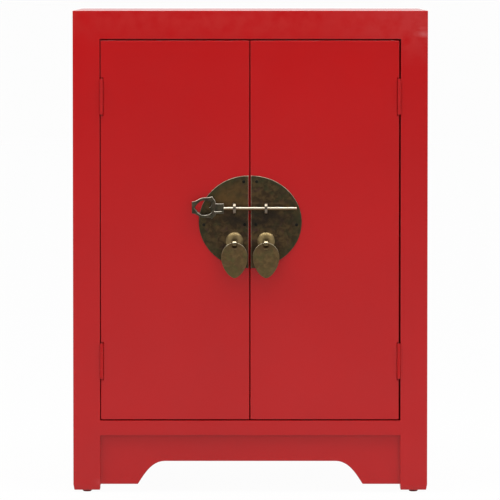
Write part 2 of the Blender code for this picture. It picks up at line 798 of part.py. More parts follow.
def make_leaf_pull(side_name):
    """The leaf that hangs in the strap's eye, its outline measured from the eye's centre."""
    hole_top = -(STRAP_BORE - FIT)
    top = hole_top + LEAF_BRIDGE
    widest = top - LEAF_SHOULDER
    tip = widest - LEAF_TAIL
    right = arc((0, widest), (LEAF_HALF_WIDTH, LEAF_SHOULDER), math.pi / 2, 0, CURVE_STEPS)
    right += bezier(
        (LEAF_HALF_WIDTH, widest),
        (LEAF_HALF_WIDTH, widest - LEAF_SIDE_PULL),
        (LEAF_TIP_PULL[0], tip + LEAF_TIP_PULL[1]),
        (0, tip),
    )
    loop = right + mirrored(right, 0)[1:-1]
    side_end = hole_top - LEAF_HOLE_SIDE
    bow = arc(
        (0, side_end),
        (LEAF_HOLE_HALF_WIDTH, LEAF_HOLE_HALF_WIDTH),
        0,
        -math.pi,
        CURVE_STEPS,
    )
    hole = [(-LEAF_HOLE_HALF_WIDTH, hole_top), (LEAF_HOLE_HALF_WIDTH, hole_top), *bow]
    name = f"{side_name}_leaf_pull"
    spot = (SIDES[side_name] * HARDWARE_OFFSET, FRONT - PULL_STANDOFF, PULL_HEIGHT)
    return place(name, outline_mesh(name, [loop, hole], LEAF), AGED_BRASS, spot, FACING_FRONT)


def bolt_head_loops():
    """The bolt's flat end seen from the front: the finger loop, the flare and the shank.

    x runs from the loop's far end towards the rod, and the loop sits a little above the rod's middle.
    """
    flare = HEAD_LENGTH - HEAD_FLARE_LENGTH
    bow = HEAD_LENGTH / 2
    shank_end = HEAD_LENGTH + SHANK_LENGTH
    upper = [(0, HEAD_END_HALF_HEIGHT)]
    upper += bezier(
        upper[-1],
        (HEAD_SWELL_PULL, HEAD_END_HALF_HEIGHT),
        (bow - HEAD_SWELL_PULL, HEAD_BOW_HALF_HEIGHT),
        (bow, HEAD_BOW_HALF_HEIGHT),
    )
    upper += bezier(
        upper[-1],
        (bow + HEAD_FLARE_DIP, HEAD_BOW_HALF_HEIGHT),
        (flare - HEAD_FLARE_DIP, HEAD_BOW_HALF_HEIGHT),
        (flare, HEAD_FLARE_HALF_HEIGHT),
        CURVE_STEPS // 2,
    )
    neck = (HEAD_FLARE_HALF_HEIGHT + SHANK_HALF_HEIGHT) / 2
    upper += bezier(
        upper[-1],
        (flare + HEAD_FLARE_LENGTH / 3, neck),
        (HEAD_LENGTH, neck),
        (HEAD_LENGTH, SHANK_HALF_HEIGHT),
        CURVE_STEPS // 2,
    )
    upper.append((shank_end, SHANK_HALF_HEIGHT))
    hole_half_height = HEAD_BOW_HALF_HEIGHT - HEAD_BAR
    tip_pull, tip_rise = HEAD_HOLE_TIP_PULL
    hole = [(HEAD_BAR, 0)]
    hole += bezier(
        hole[-1],
        (HEAD_BAR + tip_pull, tip_rise),
        (bow - HEAD_HOLE_PULL, hole_half_height),
        (bow, hole_half_height),
    )
    hole += bezier(
        hole[-1],
        (bow + HEAD_HOLE_PULL, hole_half_height),
        (flare, tip_rise),
        (flare, 0),
    )
    loops = [upper + mirrored(upper, 1), hole + mirrored(hole, 1)[1:-1]]
    return [[(x, y + (HEAD_RISE if x < HEAD_LENGTH - WELD else 0)) for x, y in loop] for loop in loops]


def make_bolt():
    """The sliding bolt: its rod joined to the flat shank and loop."""
    standoff = FRONT - BOLT_STANDOFF
    start = BOLT_TIP - ROD_LENGTH - SHANK_LENGTH - HEAD_LENGTH
    mesh = outline_mesh("bolt", bolt_head_loops(), BOLT_THICKNESS)
    bolt = place("bolt", mesh, WORN_BRASS, (start, standoff, ROD_HEIGHT), FACING_FRONT)
    rod_half = (ROD_LENGTH + SHANK_LENGTH / 2) / 2
    rod = turned(
        "bolt_rod",
        rod_profile(ROD_RADIUS, rod_half, ROD_END_ROUND),
        None,
        (BOLT_TIP - rod_half, standoff, ROD_HEIGHT),
        ALONG_X,
    )
    boolean(bolt, rod, "UNION")
    return bolt


def make_door(side_name):
    """A plain door with the two holes that its hardware goes through."""
    side = SIDES[side_name]
    xs = sorted((side * MEETING_GAP / 2, side * DOOR_EDGE))
    door = block(
        f"{side_name}_door",
        (xs[0], FRONT, DOOR_BOTTOM),
        (xs[1], DOOR_BACK, DOOR_TOP),
        RED_LACQUER,
        DOOR_ROUND,
    )
    for label, height, radius in (
        ("staple", STAPLE_HEIGHT, STAPLE_HOLE),
        ("pull", BOSS_CENTRE, STRAP_HOLE),
    ):
        spot = (side * HARDWARE_OFFSET, FRONT + DOOR / 2, height)
        hole = cylinder(f"{side_name}_{label}_hole", radius, 2 * DOOR, spot, FACING_FRONT)
        cut(door, hole)
    return door


def make_door_set(side_name, post):
    """A door with its hinges, lock plate, staple and pull. Returns the door's pivot."""
    side = SIDES[side_name]
    x = side * HARDWARE_OFFSET
    door = make_door(side_name)
    hinge_leaves = [make_hinge(side_name, level, post, door) for level in HINGE_HEIGHTS]
    plate = make_lock_plate(side_name, [(STAPLE_HEIGHT, STAPLE_HOLE), (BOSS_CENTRE, STRAP_HOLE)])
    boss = make_boss(side_name)
    staple = split_pin(
        f"{side_name}_bolt_staple",
        x,
        STAPLE_HEIGHT,
        BOLT_STANDOFF,
        STAPLE_OUTER,
        STAPLE_HALF_HEIGHT,
        STAPLE_BORE,
        STAPLE_WIDTH,
        STAPLE_LEG,
        0,
    )
    strap = split_pin(
        f"{side_name}_pull_strap",
        x,
        PULL_HEIGHT,
        PULL_STANDOFF,
        STRAP_OUTER,
        STRAP_OUTER,
        STRAP_BORE,
        STRAP_WIDTH,
        STRAP_LEG,
        STRAP_DROP,
    )
    door_pivot = pivot(f"{side_name}_door_pivot", (side * HINGE_X, HINGE_Y, DOOR_BOTTOM))
    hang(door_pivot, door, *hinge_leaves, plate, boss, staple, strap)
    pull_pivot = pivot(f"{side_name}_pull_pivot", (x, FRONT - PULL_STANDOFF, PULL_HEIGHT), door_pivot)
    hang(pull_pivot, make_leaf_pull(side_name))
    return door_pivot


def main():
    """Builds the cabinet."""
    front_posts = make_case()
    make_shelf()
    make_door_stop()
    make_aprons()
    pivots = {side: make_door_set(side, post) for side, post in front_posts.items()}
    bolt_pivot = pivot("bolt_pivot", (BOLT_TIP, FRONT - BOLT_STANDOFF, ROD_HEIGHT), pivots["left"])
    hang(bolt_pivot, make_bolt())


main()
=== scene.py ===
"""Looks for the red lacquered two-door nightstand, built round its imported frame.

The case and the doors are painted over in one coat, so the joints of the frame don't show. The lock plate,
bolt, staples and pulls are aged brass. Sizes are in metres, x to the right, y to the back and z up.
"""

import logging
import math
from collections.abc import Callable, Iterator, Mapping, Sequence
from contextlib import contextmanager
from dataclasses import dataclass, field, replace
from enum import Enum

import bmesh
import bpy
from bmesh.types import BMEdge, BMFace, BMVert
from bpy.types import Material, Node, NodeSocket, Object
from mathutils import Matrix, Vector


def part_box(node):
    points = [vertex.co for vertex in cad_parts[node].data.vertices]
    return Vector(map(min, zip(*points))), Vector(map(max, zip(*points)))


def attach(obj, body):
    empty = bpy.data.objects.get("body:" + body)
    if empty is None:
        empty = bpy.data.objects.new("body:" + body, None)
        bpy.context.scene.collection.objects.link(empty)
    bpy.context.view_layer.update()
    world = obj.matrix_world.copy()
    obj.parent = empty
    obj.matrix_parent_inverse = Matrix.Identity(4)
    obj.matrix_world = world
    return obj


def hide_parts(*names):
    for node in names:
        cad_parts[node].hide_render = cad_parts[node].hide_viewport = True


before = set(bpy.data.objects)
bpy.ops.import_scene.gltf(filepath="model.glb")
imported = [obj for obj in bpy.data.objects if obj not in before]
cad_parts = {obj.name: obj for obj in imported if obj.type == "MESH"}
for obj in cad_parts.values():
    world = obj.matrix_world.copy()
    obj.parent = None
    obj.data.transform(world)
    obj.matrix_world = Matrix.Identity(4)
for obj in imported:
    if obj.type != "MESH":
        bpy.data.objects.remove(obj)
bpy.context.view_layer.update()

LOG = logging.getLogger("nightstand")

Point = tuple[float, float]
Place = tuple[float, float, float]
Colour = tuple[float, float, float]
Given = NodeSocket | float | Sequence[float]

QUARTER = math.pi / 2
FACING_FRONT = (QUARTER, 0.0, 0.0)
ALONG_X = (0.0, QUARTER, 0.0)
UPRIGHT = (0.0, 0.0, 0.0)
ORIGIN = (0.0, 0.0, 0.0)
CIRCLE_PULL = 4 / 3

# Points closer together than this are one, and faces that meet flatter than this angle too.
TINY = 1e-6
FLAT_ANGLE = math.radians(0.1)
# How far off a point may lie when points are picked by their place.
HAIR = 1e-4
# The angles in degrees from which edges are rounded over, or stay sharp when pieces and plates are shaded.
SOFTENED_OVER = 50.0
SHARP_OVER = 32.0
PLATE_SHARP_OVER = 25.0
# How many faces go round a turned piece.
ROUND_STEPS = 48
SMALL_ROUND_STEPS = 24

FRONT_FACE = -0.16765
LOCK_HEIGHT = 0.3216
HARDWARE_X = 0.0187
BOLT_Y = -0.17475
STAPLE_Z = LOCK_HEIGHT + 0.0158
CLEARANCE = 0.0003


class Side(Enum):
    """The left or the right half of the cabinet, as seen from the front."""

    LEFT = -1
    RIGHT = 1

    @property
    def word(self) -> str:
        """The word that the names of this side's pieces start with."""
        return self.name.lower()


class Level(Enum):
    """The two heights at which a door is hung, as the middle of the hinge."""

    UPPER = 0.4697
    LOWER = 0.1562


class Mirror(Enum):
    """The ways to mirror an outline, as the signs that x and y take."""

    LEFT_TO_RIGHT = (-1, 1)
    TOP_TO_BOTTOM = (1, -1)


class Kind(Enum):
    """The parts of a mesh that are picked, by where the mesh keeps them."""

    VERT = "verts"
    EDGE = "edges"


class Body(Enum):
    """The bodies that pieces ride on."""

    CABINET = "cabinet"
    LEFT_DOOR = "left_door"
    RIGHT_DOOR = "right_door"
    BOLT = "bolt"
    LEFT_PULL = "left_pull"
    RIGHT_PULL = "right_pull"

    @classmethod
    def door(cls, side: Side) -> "Body":
        """The door on one side."""
        return cls[f"{side.name}_DOOR"]

    @classmethod
    def pull(cls, side: Side) -> "Body":
        """The leaf pull on one side."""
        return cls[f"{side.name}_PULL"]


class Slot(Enum):
    """The record's material slots that new pieces are passed with; nothing here reads them."""

    RED_LACQUER = "red_lacquer"
    HINGE_PAINT = "hinge_paint"
    GLIDE_PAINT = "glide_paint"
    AGED_BRASS = "aged_brass"
    WORN_BRASS = "worn_brass"


@dataclass(frozen=True)
class Pattern:
    """A noise pattern: patches to the metre, octaves of finer noise, and the part of its range that is used."""

    scale: float
    detail: float
    shift: float = 0.0
    distortion: float = 0.0
    part: Point = (0.3, 0.7)


CLOUDS = Pattern(7, 3)
SHEEN = Pattern(22, 4, shift=3.1)
PEEL = Pattern(620, 2, shift=1.7)
PITS = Pattern(420, 4, shift=4.2)
RUBS = Pattern(240, 3, shift=7.7, part=(0.25, 0.75))


class NodeBoard:
    """A new material and its shader nodes, laid out from code."""

    def __init__(self, name: str) -> None:
        """Makes the material with a plain shader.

        Args:
            name: The material's name.
        """
        self.material = bpy.data.materials.new(name)
        self.material.use_nodes = True
        self.tree = self.material.node_tree
        self.shader = self.tree.nodes["Principled BSDF"]
        self.place = self.add("TexCoord").outputs["Object"]

    def feed(self, node: Node, inputs: Mapping[str | int, Given]) -> Node:
        """Sets a node's inputs, or links them to what gives them.

        Args:
            node: The node.
            inputs: What the inputs take, by their names or numbers.

        Returns:
            The node.
        """
        for key, given in inputs.items():
            if isinstance(given, NodeSocket):
                self.tree.links.new(given, node.inputs[key])
            else:
                node.inputs[key].default_value = given
        return node

    def add(self, kind: str, inputs: Mapping[str | int, Given] | None = None, **settings: str) -> Node:
        """Adds a node.

        Args:
            kind: The node's type, without the words that all types start with.
            inputs: What its inputs take.
            settings: Its properties by name.

        Returns:
            The new node.
        """
        node = self.tree.nodes.new(f"ShaderNode{kind}")
        for key, value in settings.items():
            setattr(node, key, value)
        return self.feed(node, inputs or {})

    def noise(self, pattern: Pattern) -> NodeSocket:
        """Adds a noise pattern in the piece's own metres.

        Args:
            pattern: The pattern.

        Returns:
            Its strength, from 0 to 1.
        """
        moved = self.add("Mapping", {"Vector": self.place, "Location": [pattern.shift] * 3})
        kind = {"Scale": pattern.scale, "Detail": pattern.detail, "Distortion": pattern.distortion}
        return self.add("TexNoise", {"Vector": moved.outputs["Vector"], **kind}).outputs["Fac"]

    def spread(self, source: NodeSocket, given: Point, wanted: Point) -> NodeSocket:
        """Maps a pattern from the range of it that is given to the range that is wanted."""
        ends = zip(("From Min", "From Max", "To Min", "To Max"), (*given, *wanted))
        return self.add("MapRange", {"Value": source, **dict(ends)}).outputs["Result"]

    def patches(self, pattern: Pattern, wanted: Point) -> NodeSocket:
        """A noise pattern mapped to the range that is wanted."""
        return self.spread(self.noise(pattern), pattern.part, wanted)

    def mix(self, share: NodeSocket, low: Colour | NodeSocket, high: Colour) -> NodeSocket:
        """Mixes two colours by a pattern, which is the share of the second one."""
        first = low if isinstance(low, NodeSocket) else (*low, 1.0)
        return self.add("Mix", {"Factor": share, "A": first, "B": (*high, 1.0)}, data_type="RGBA").outputs["Result"]

    def times(self, one: NodeSocket, two: Given) -> NodeSocket:
        """The product of two patterns, or of a pattern and a number."""
        return self.add("Math", {0: one, 1: two}, operation="MULTIPLY").outputs["Value"]

    def bump(self, pattern: Pattern, strength: float, depth: float) -> None:
        """Lets a pattern raise the surface by a share of a depth in metres."""
        raised = self.add("Bump", {"Height": self.noise(pattern), "Strength": strength, "Distance": depth})
        self.feed(self.shader, {"Normal": raised.outputs["Normal"]})


@dataclass(frozen=True)
class Spot:
    """A patch of colour with an oval outline, as seen from the front; used for real stains, and for painted shadow,
    painted highlight and painted reflection.
    """

    centre: Point
    radii: Point
    fade: Point
    most: float
    tint: Colour
    grain: float = 70
    least: float = 0.1

    def laid(self, board: NodeBoard, colour: NodeSocket, shift: float) -> NodeSocket:
        """Lays the patch over a colour.

        Args:
            board: The board that the nodes go on.
            colour: The colour under the patch.
            shift: Where its patches are taken from the noise.

        Returns:
            The colour with the patch laid over it.
        """
        (x, z), (across, up) = self.centre, self.radii
        oval = {"Scale": (1 / across, 0, 1 / up), "Location": (-x / across, 0, -z / up)}
        inside = board.add("Mapping", {"Vector": board.place, **oval})
        reach = board.add("VectorMath", {0: inside.outputs["Vector"]}, operation="LENGTH")
        near = board.spread(reach.outputs["Value"], self.fade, (0, self.most))
        patchy = board.patches(Pattern(self.grain, 3, shift, part=(0.3, 0.6)), (self.least, 1))
        return board.mix(board.times(near, patchy), colour, self.tint)


Marks = tuple[Spot, ...]


class Finish:
    """A finish that becomes a material when it is first asked for."""

    name: str
    marks: Marks

    def material(self) -> Material:
        """The finish as a material."""
        return bpy.data.materials.get(self.name) or self.mixed(NodeBoard(self.name))

    def mixed(self, board: NodeBoard) -> Material:
        """Lays the finish out on a board, each kind in its own way."""
        raise NotImplementedError

    def stained(self, board: NodeBoard, colour: NodeSocket) -> NodeSocket:
        """Lays the finish's marks over its colour: real stains, and painted shadow, painted highlight and painted
        reflection.

        Args:
            board: The board that the nodes go on.
            colour: The colour under the marks.

        Returns:
            The marked colour.
        """
        first, step = 1.9, 2.1
        for index, spot in enumerate(self.marks):
            colour = spot.laid(board, colour, first + step * index)
        return colour


@dataclass(frozen=True)
class Lacquer(Finish):
    """A sprayed lacquer: an even colour, a satin skin and the faint peel of the spray gun."""

    name: str
    colour: Colour
    shade: float = 0.94
    gloss: Point = (0.20, 0.24)
    specular: float = 0.38
    peel: float = 0.03
    peel_depth: float = 0.0004
    marks: Marks = ()

    def mixed(self, board: NodeBoard) -> Material:
        """Lays the lacquer out on a board.

        Args:
            board: The board.

        Returns:
            The material.
        """
        darker = tuple(self.shade * part for part in self.colour)
        colour = board.mix(board.patches(CLOUDS, (0, 1)), darker, self.colour)
        surface = {
            "Specular IOR Level": self.specular,
            "Base Color": self.stained(board, colour),
            "Roughness": board.patches(SHEEN, self.gloss),
        }
        board.feed(board.shader, surface)
        board.bump(PEEL, self.peel, self.peel_depth)
        return board.material


@dataclass(frozen=True)
class Brass(Finish):
    """Brass with a patina: clouds of brown over the metal, green and plum stains, edges rubbed bright, partly wear
    and partly a painted highlight where they face up, and, where asked for, painted shade on faces that look down.
    """

    name: str
    metal: Colour
    tarnish: Colour
    green: Colour
    plum: Colour
    bright: Colour
    metallic: float = 1.0
    grain: float = 85
    cover: Point = (0.35, 0.6)
    stain: float = 0.5
    # Painted shade: the upward share of the normal over which faces that look down fade to the tarnish-and-shade
    # colour; None leaves them as they are.
    under: Point | None = None
    marks: Marks = ()
    coat: float = 0.0
    gloss: Point = (0.38, 0.55)
    pitting: float = 0.2
    pit_depth: float = 0.0003
    rubbed: Point = (0.35, 1.0)
    # Painted highlight: the share of the rubbed brightness that rims keep when they face down and when they face
    # up.
    rubbed_above: Point = (0.05, 1.0)

    def mixed(self, board: NodeBoard) -> Material:
        """Lays the brass out on a board.

        Args:
            board: The board.

        Returns:
            The material.
        """
        clouds = Pattern(self.grain, 7, distortion=0.5)
        green = Pattern(0.7 * self.grain, 5, shift=2.3, part=(0.52, 0.72))
        plum = Pattern(0.9 * self.grain, 5, shift=5.9, part=(0.55, 0.72))
        cloud = board.noise(clouds)
        colour = board.mix(board.spread(cloud, self.cover, (0, 1)), self.metal, self.tarnish)
        for pattern, tint in ((green, self.green), (plum, self.plum)):
            colour = board.mix(board.patches(pattern, (0, self.stain)), colour, tint)
        colour = self.stained(board, colour)
        normal = board.add("NewGeometry").outputs["Normal"]
        facing_up = board.add("SeparateXYZ", {"Vector": normal}).outputs["Z"]
        # Painted shade: faces that look down are darkened towards the tarnish-and-shade colour.
        if self.under:
            colour = board.mix(board.spread(facing_up, self.under, (0, 1)), colour, self.tarnish)
        # Rims marked as worn are rubbed bright: partly real wear, partly a painted highlight that is strongest
        # where they face up.
        wear = board.add("Attribute", attribute_name="wear").outputs["Fac"]
        rubbed = board.times(wear, board.patches(RUBS, self.rubbed))
        above = board.spread(facing_up, (0.0, 0.5), self.rubbed_above)
        surface = {
            "Metallic": self.metallic,
            "Coat Weight": self.coat,
            "Coat Roughness": self.gloss[0],
            "Base Color": board.mix(board.times(rubbed, above), colour, self.bright),
            "Roughness": board.spread(cloud, clouds.part, self.gloss),
        }
        board.feed(board.shader, surface)
        board.bump(PITS, self.pitting, self.pit_depth)
        return board.material


RED = Lacquer("red_coat", (0.455, 0.0045, 0.0055))
FRAME_RED = replace(
    RED,
    name="frame_coat",
    marks=(
        # Painted reflection: a paler, pinker band of sheen along the top rail.
        Spot((0.0, 0.572), (0.42, 0.050), (1.0, 0.3), 1.0, (0.455, 0.0145, 0.0135)),
        # Painted reflection: a paler haze of sheen at the top right.
        Spot((0.22, 0.560), (0.15, 0.060), (1.0, 0.2), 1.0, (0.458, 0.0240, 0.0240)),
        # The top right corner: two pale marks, partly a worn corner and partly a painted highlight.
        Spot((0.2070, 0.5440), (0.016, 0.0050), (1.0, 0.0), 1.0, (0.500, 0.1000, 0.1000)),
        Spot((0.2060, 0.5505), (0.009, 0.0032), (1.0, 0.0), 0.8, (0.540, 0.0700, 0.0720)),
        Spot((-0.1810, 0.0115), (0.009, 0.0060), (1.0, 0.0), 0.8, (0.480, 0.0360, 0.0400)),
    ),
)
INSIDE = Lacquer("inner_coat", (0.40, 0.0045, 0.0055), shade=0.86, gloss=(0.45, 0.58), peel=0.12)
HINGE_PAINT = Lacquer("hinge_coat", (0.44, 0.0045, 0.0055), gloss=(0.34, 0.42), specular=0.25)
GLIDE_PAINT = Lacquer("glide_coat", (0.36, 0.006, 0.010), gloss=(0.5, 0.6), specular=0.05)
AGED = Brass(
    "plate_patina",
    metal=(0.106, 0.066, 0.028),
    tarnish=(0.045, 0.029, 0.0155),
    green=(0.042, 0.046, 0.021),
    plum=(0.076, 0.040, 0.031),
    bright=(0.44, 0.38, 0.28),
    metallic=0.9,
    grain=170,
    stain=0.8,
    marks=(
        Spot((-0.024, LOCK_HEIGHT + 0.026), (0.034, 0.028), (1.0, 0.2), 0.8, (0.137, 0.076, 0.026)),
        # Painted shadow: a dark band across the plate round and below the bolt, partly grime along its slide.
        Spot((0.006, LOCK_HEIGHT + 0.0055), (0.064, 0.0170), (1.0, 0.4), 0.9, (0.027, 0.020, 0.014)),
        # Painted reflection: a thin pale line above the rod, the rod mirrored in the plate.
        Spot((0.012, LOCK_HEIGHT + 0.0222), (0.050, 0.0010), (1.0, 0.3), 0.6, (0.150, 0.105, 0.066)),
        Spot((0, LOCK_HEIGHT), (0.0609, 0.0548), (0.80, 1.0), 0.75, (0.042, 0.046, 0.021)),
    ),
)
HEAD_BRASS = Brass(
    "bolt_head_patina",
    metal=(0.100, 0.082, 0.052),
    tarnish=(0.044, 0.036, 0.024),
    green=(0.040, 0.052, 0.026),
    plum=(0.070, 0.046, 0.038),
    bright=(0.66, 0.60, 0.50),
    metallic=0.85,
    grain=170,
    stain=0.6,
    gloss=(0.30, 0.42),
    pitting=0.12,
)
LEAF_BRASS = Brass(
    "leaf_patina",
    metal=(0.170, 0.110, 0.046),
    tarnish=(0.112, 0.072, 0.030),
    green=(0.080, 0.098, 0.034),
    plum=(0.140, 0.076, 0.046),
    bright=(0.40, 0.35, 0.25),
    metallic=0.85,
    grain=170,
    marks=tuple(
        Spot((side.value * HARDWARE_X, LOCK_HEIGHT - drop), radii, (1.0, 0.3), 0.85, tint)
        for side in Side
        for drop, radii, tint in (
            (0.0295, (0.015, 0.0075), (0.098, 0.062, 0.030)),
            (0.0640, (0.014, 0.0120), (0.120, 0.098, 0.036)),
        )
    ),
    gloss=(0.34, 0.48),
    pitting=0.12,
)
BOSS_BRASS = Brass(
    "boss_brass",
    metal=(0.178, 0.118, 0.034),
    tarnish=(0.124, 0.078, 0.020),
    green=(0.118, 0.100, 0.026),
    plum=(0.160, 0.098, 0.048),
    bright=(0.44, 0.36, 0.20),
    cover=(0.4, 0.7),
    stain=0.4,
    coat=0.8,
    gloss=(0.30, 0.32),
    pitting=0.02,
)
# Painted highlight and shade: the rod keeps its pale metal on top, and faces that look down darken to dark brown.
ROD_BRASS = Brass(
    "rod_brass",
    metal=(0.66, 0.59, 0.47),
    tarnish=(0.14, 0.085, 0.042),
    green=(0.56, 0.49, 0.38),
    plum=(0.56, 0.48, 0.38),
    bright=(0.66, 0.59, 0.47),
    cover=(0.75, 1.0),
    stain=0.1,
    under=(0.25, -0.15),
    gloss=(0.36, 0.38),
    pitting=0.0,
)
# Painted highlight and shade: only faces that look well up keep the pale metal; the rest fade darker.
STAPLE_BRASS = Brass(
    "staple_brass",
    metal=(0.34, 0.30, 0.23),
    tarnish=(0.18, 0.145, 0.11),
    green=(0.17, 0.15, 0.10),
    plum=(0.20, 0.16, 0.13),
    bright=(0.30, 0.26, 0.20),
    cover=(0.6, 0.9),
    under=(0.75, 0.2),
    gloss=(0.24, 0.38),
    pitting=0.03,
)
# Painted highlight and shade: only the strap's upward faces keep the bright metal; the rest fade darker.
STRAP_BRASS = Brass(
    "strap_brass",
    metal=(0.70, 0.60, 0.40),
    tarnish=(0.12, 0.085, 0.042),
    green=(0.14, 0.13, 0.07),
    plum=(0.18, 0.12, 0.08),
    bright=(0.50, 0.42, 0.28),
    cover=(0.7, 0.95),
    stain=0.3,
    under=(0.6, 0.1),
    gloss=(0.22, 0.34),
    pitting=0.02,
)
SCREW_BRASS = Brass(
    "screw_brass",
    metal=(0.50, 0.39, 0.18),
    tarnish=(0.24, 0.175, 0.075),
    green=(0.24, 0.22, 0.09),
    plum=(0.34, 0.23, 0.14),
    bright=(0.62, 0.52, 0.34),
    pitting=0.05,
)
NAIL_BRASS = Brass(
    "nail_patina",
    metal=(0.016, 0.015, 0.010),
    tarnish=(0.009, 0.008, 0.006),
    green=(0.008, 0.011, 0.007),
    plum=(0.010, 0.007, 0.007),
    bright=(0.06, 0.05, 0.035),
    metallic=0.85,
    gloss=(0.45, 0.65),
)

Knot = list[Point | None]


@dataclass
class Outline:
    """A closed flat outline, as knots: a point, the handle before it and the handle after it."""

    knots: list[Knot] = field(default_factory=list)

    def line(self, *ends: Point) -> "Outline":
        """Draws straight runs to these points, the first of which may be where the outline starts."""
        self.knots.extend([end, None, None] for end in ends)
        return self

    def curve(self, leaving: Point, arriving: Point, end: Point) -> "Outline":
        """Draws a free curve from the last point.

        Args:
            leaving: The handle at the last point.
            arriving: The handle at the new point.
            end: The new point.

        Returns:
            This outline.
        """
        self.knots[-1][2] = leaving
        self.knots.append([end, arriving, None])
        return self

    def arc(self, centre: Point, radii: Point, start: float, end: float) -> "Outline":
        """Draws an arc of a circle or an ellipse, with a straight run to its start.

        Args:
            centre: The arc's centre.
            radii: Its radii across and up.
            start: The angle where it starts.
            end: The angle where it ends.

        Returns:
            This outline.
        """
        pieces = max(1, math.ceil(abs(end - start) / QUARTER - TINY))
        turn = (end - start) / pieces
        pull = CIRCLE_PULL * math.tan(turn / 4)

        def at(angle: float, along: float) -> Point:
            """The point at an angle, moved along the tangent."""
            cos, sin = math.cos(angle), math.sin(angle)
            return (centre[0] + radii[0] * (cos - along * sin), centre[1] + radii[1] * (sin + along * cos))

        self.line(at(start, 0))
        for index in range(pieces):
            angle = start + index * turn
            self.curve(at(angle, pull), at(angle + turn, -pull), at(angle + turn, 0))
        return self

    def mirrored(self, way: Mirror) -> "Outline":
        """The same outline on the other side.

        Args:
            way: How it is mirrored.

        Returns:
            A new outline.
        """
        across, up = way.value
        flipped = [[part and (across * part[0], up * part[1]) for part in knot] for knot in reversed(self.knots)]
        return Outline([[point, after, before] for point, before, after in flipped])

    def raised(self, rise: float, end: float = math.inf) -> "Outline":
        """A new outline, with the knots to the left of an end raised."""
        moves = [(knot, rise if knot[0][0] < end else 0.0) for knot in self.knots]
        return Outline([[part and (part[0], part[1] + move) for part in knot] for knot, move in moves])

    def joined(self, other: "Outline") -> "Outline":
        """This outline followed by another, with knots that meet made one.

        Args:
            other: The outline that follows.

        Returns:
            A new outline.
        """
        knots = [list(knot) for knot in self.knots]
        for knot in other.knots:
            if math.dist(knots[-1][0], knot[0]) < TINY:
                knots[-1][2] = knot[2]
            else:
                knots.append(list(knot))
        if math.dist(knots[-1][0], knots[0][0]) < TINY:
            knots[0][1] = knots.pop()[1]
        return Outline(knots)

    def draw(self, curve: bpy.types.Curve) -> None:
        """Adds the outline to a curve.

        Args:
            curve: The curve that takes it.
        """
        spline = curve.splines.new("BEZIER")
        spline.use_cyclic_u = True
        spline.bezier_points.add(len(self.knots) - 1)
        for drawn, (point, before, after) in zip(spline.bezier_points, self.knots):
            drawn.co = (*point, 0)
            for hand, handle in (("left", before), ("right", after)):
                setattr(drawn, f"handle_{hand}_type", "FREE" if handle else "VECTOR")
                if handle:
                    setattr(drawn, f"handle_{hand}", (*handle, 0))


def circle(centre: Point, radius: float) -> Outline:
    """A round outline with this centre and radius."""
    return Outline().arc(centre, (radius, radius), 0, 2 * math.pi).joined(Outline())


def quarter_turn(steps: int) -> list[Point]:
    """The cosines and sines of a quarter turn in even steps, with both its ends."""
    angles = [QUARTER * step / steps for step in range(steps + 1)]
    return [(math.cos(angle), math.sin(angle)) for angle in angles]


def let_go() -> None:
    """Leaves edit mode and lets go of everything."""
    if bpy.context.mode != "OBJECT":
        bpy.ops.object.mode_set(mode="OBJECT")
    bpy.ops.object.select_all(action="DESELECT")


def select_all() -> None:
    """Selects all of the piece in edit mode."""
    bpy.ops.mesh.select_all(action="SELECT")


def face_out() -> None:
    """Turns all faces of the piece in edit mode outwards."""
    select_all()
    bpy.ops.mesh.normals_make_consistent(inside=False)


def weld() -> None:
    """Makes doubled points and flat facets of the piece in edit mode one, and selects all of it."""
    select_all()
    bpy.ops.mesh.remove_doubles(threshold=TINY)
    bpy.ops.mesh.dissolve_limited(angle_limit=FLAT_ANGLE)
    select_all()


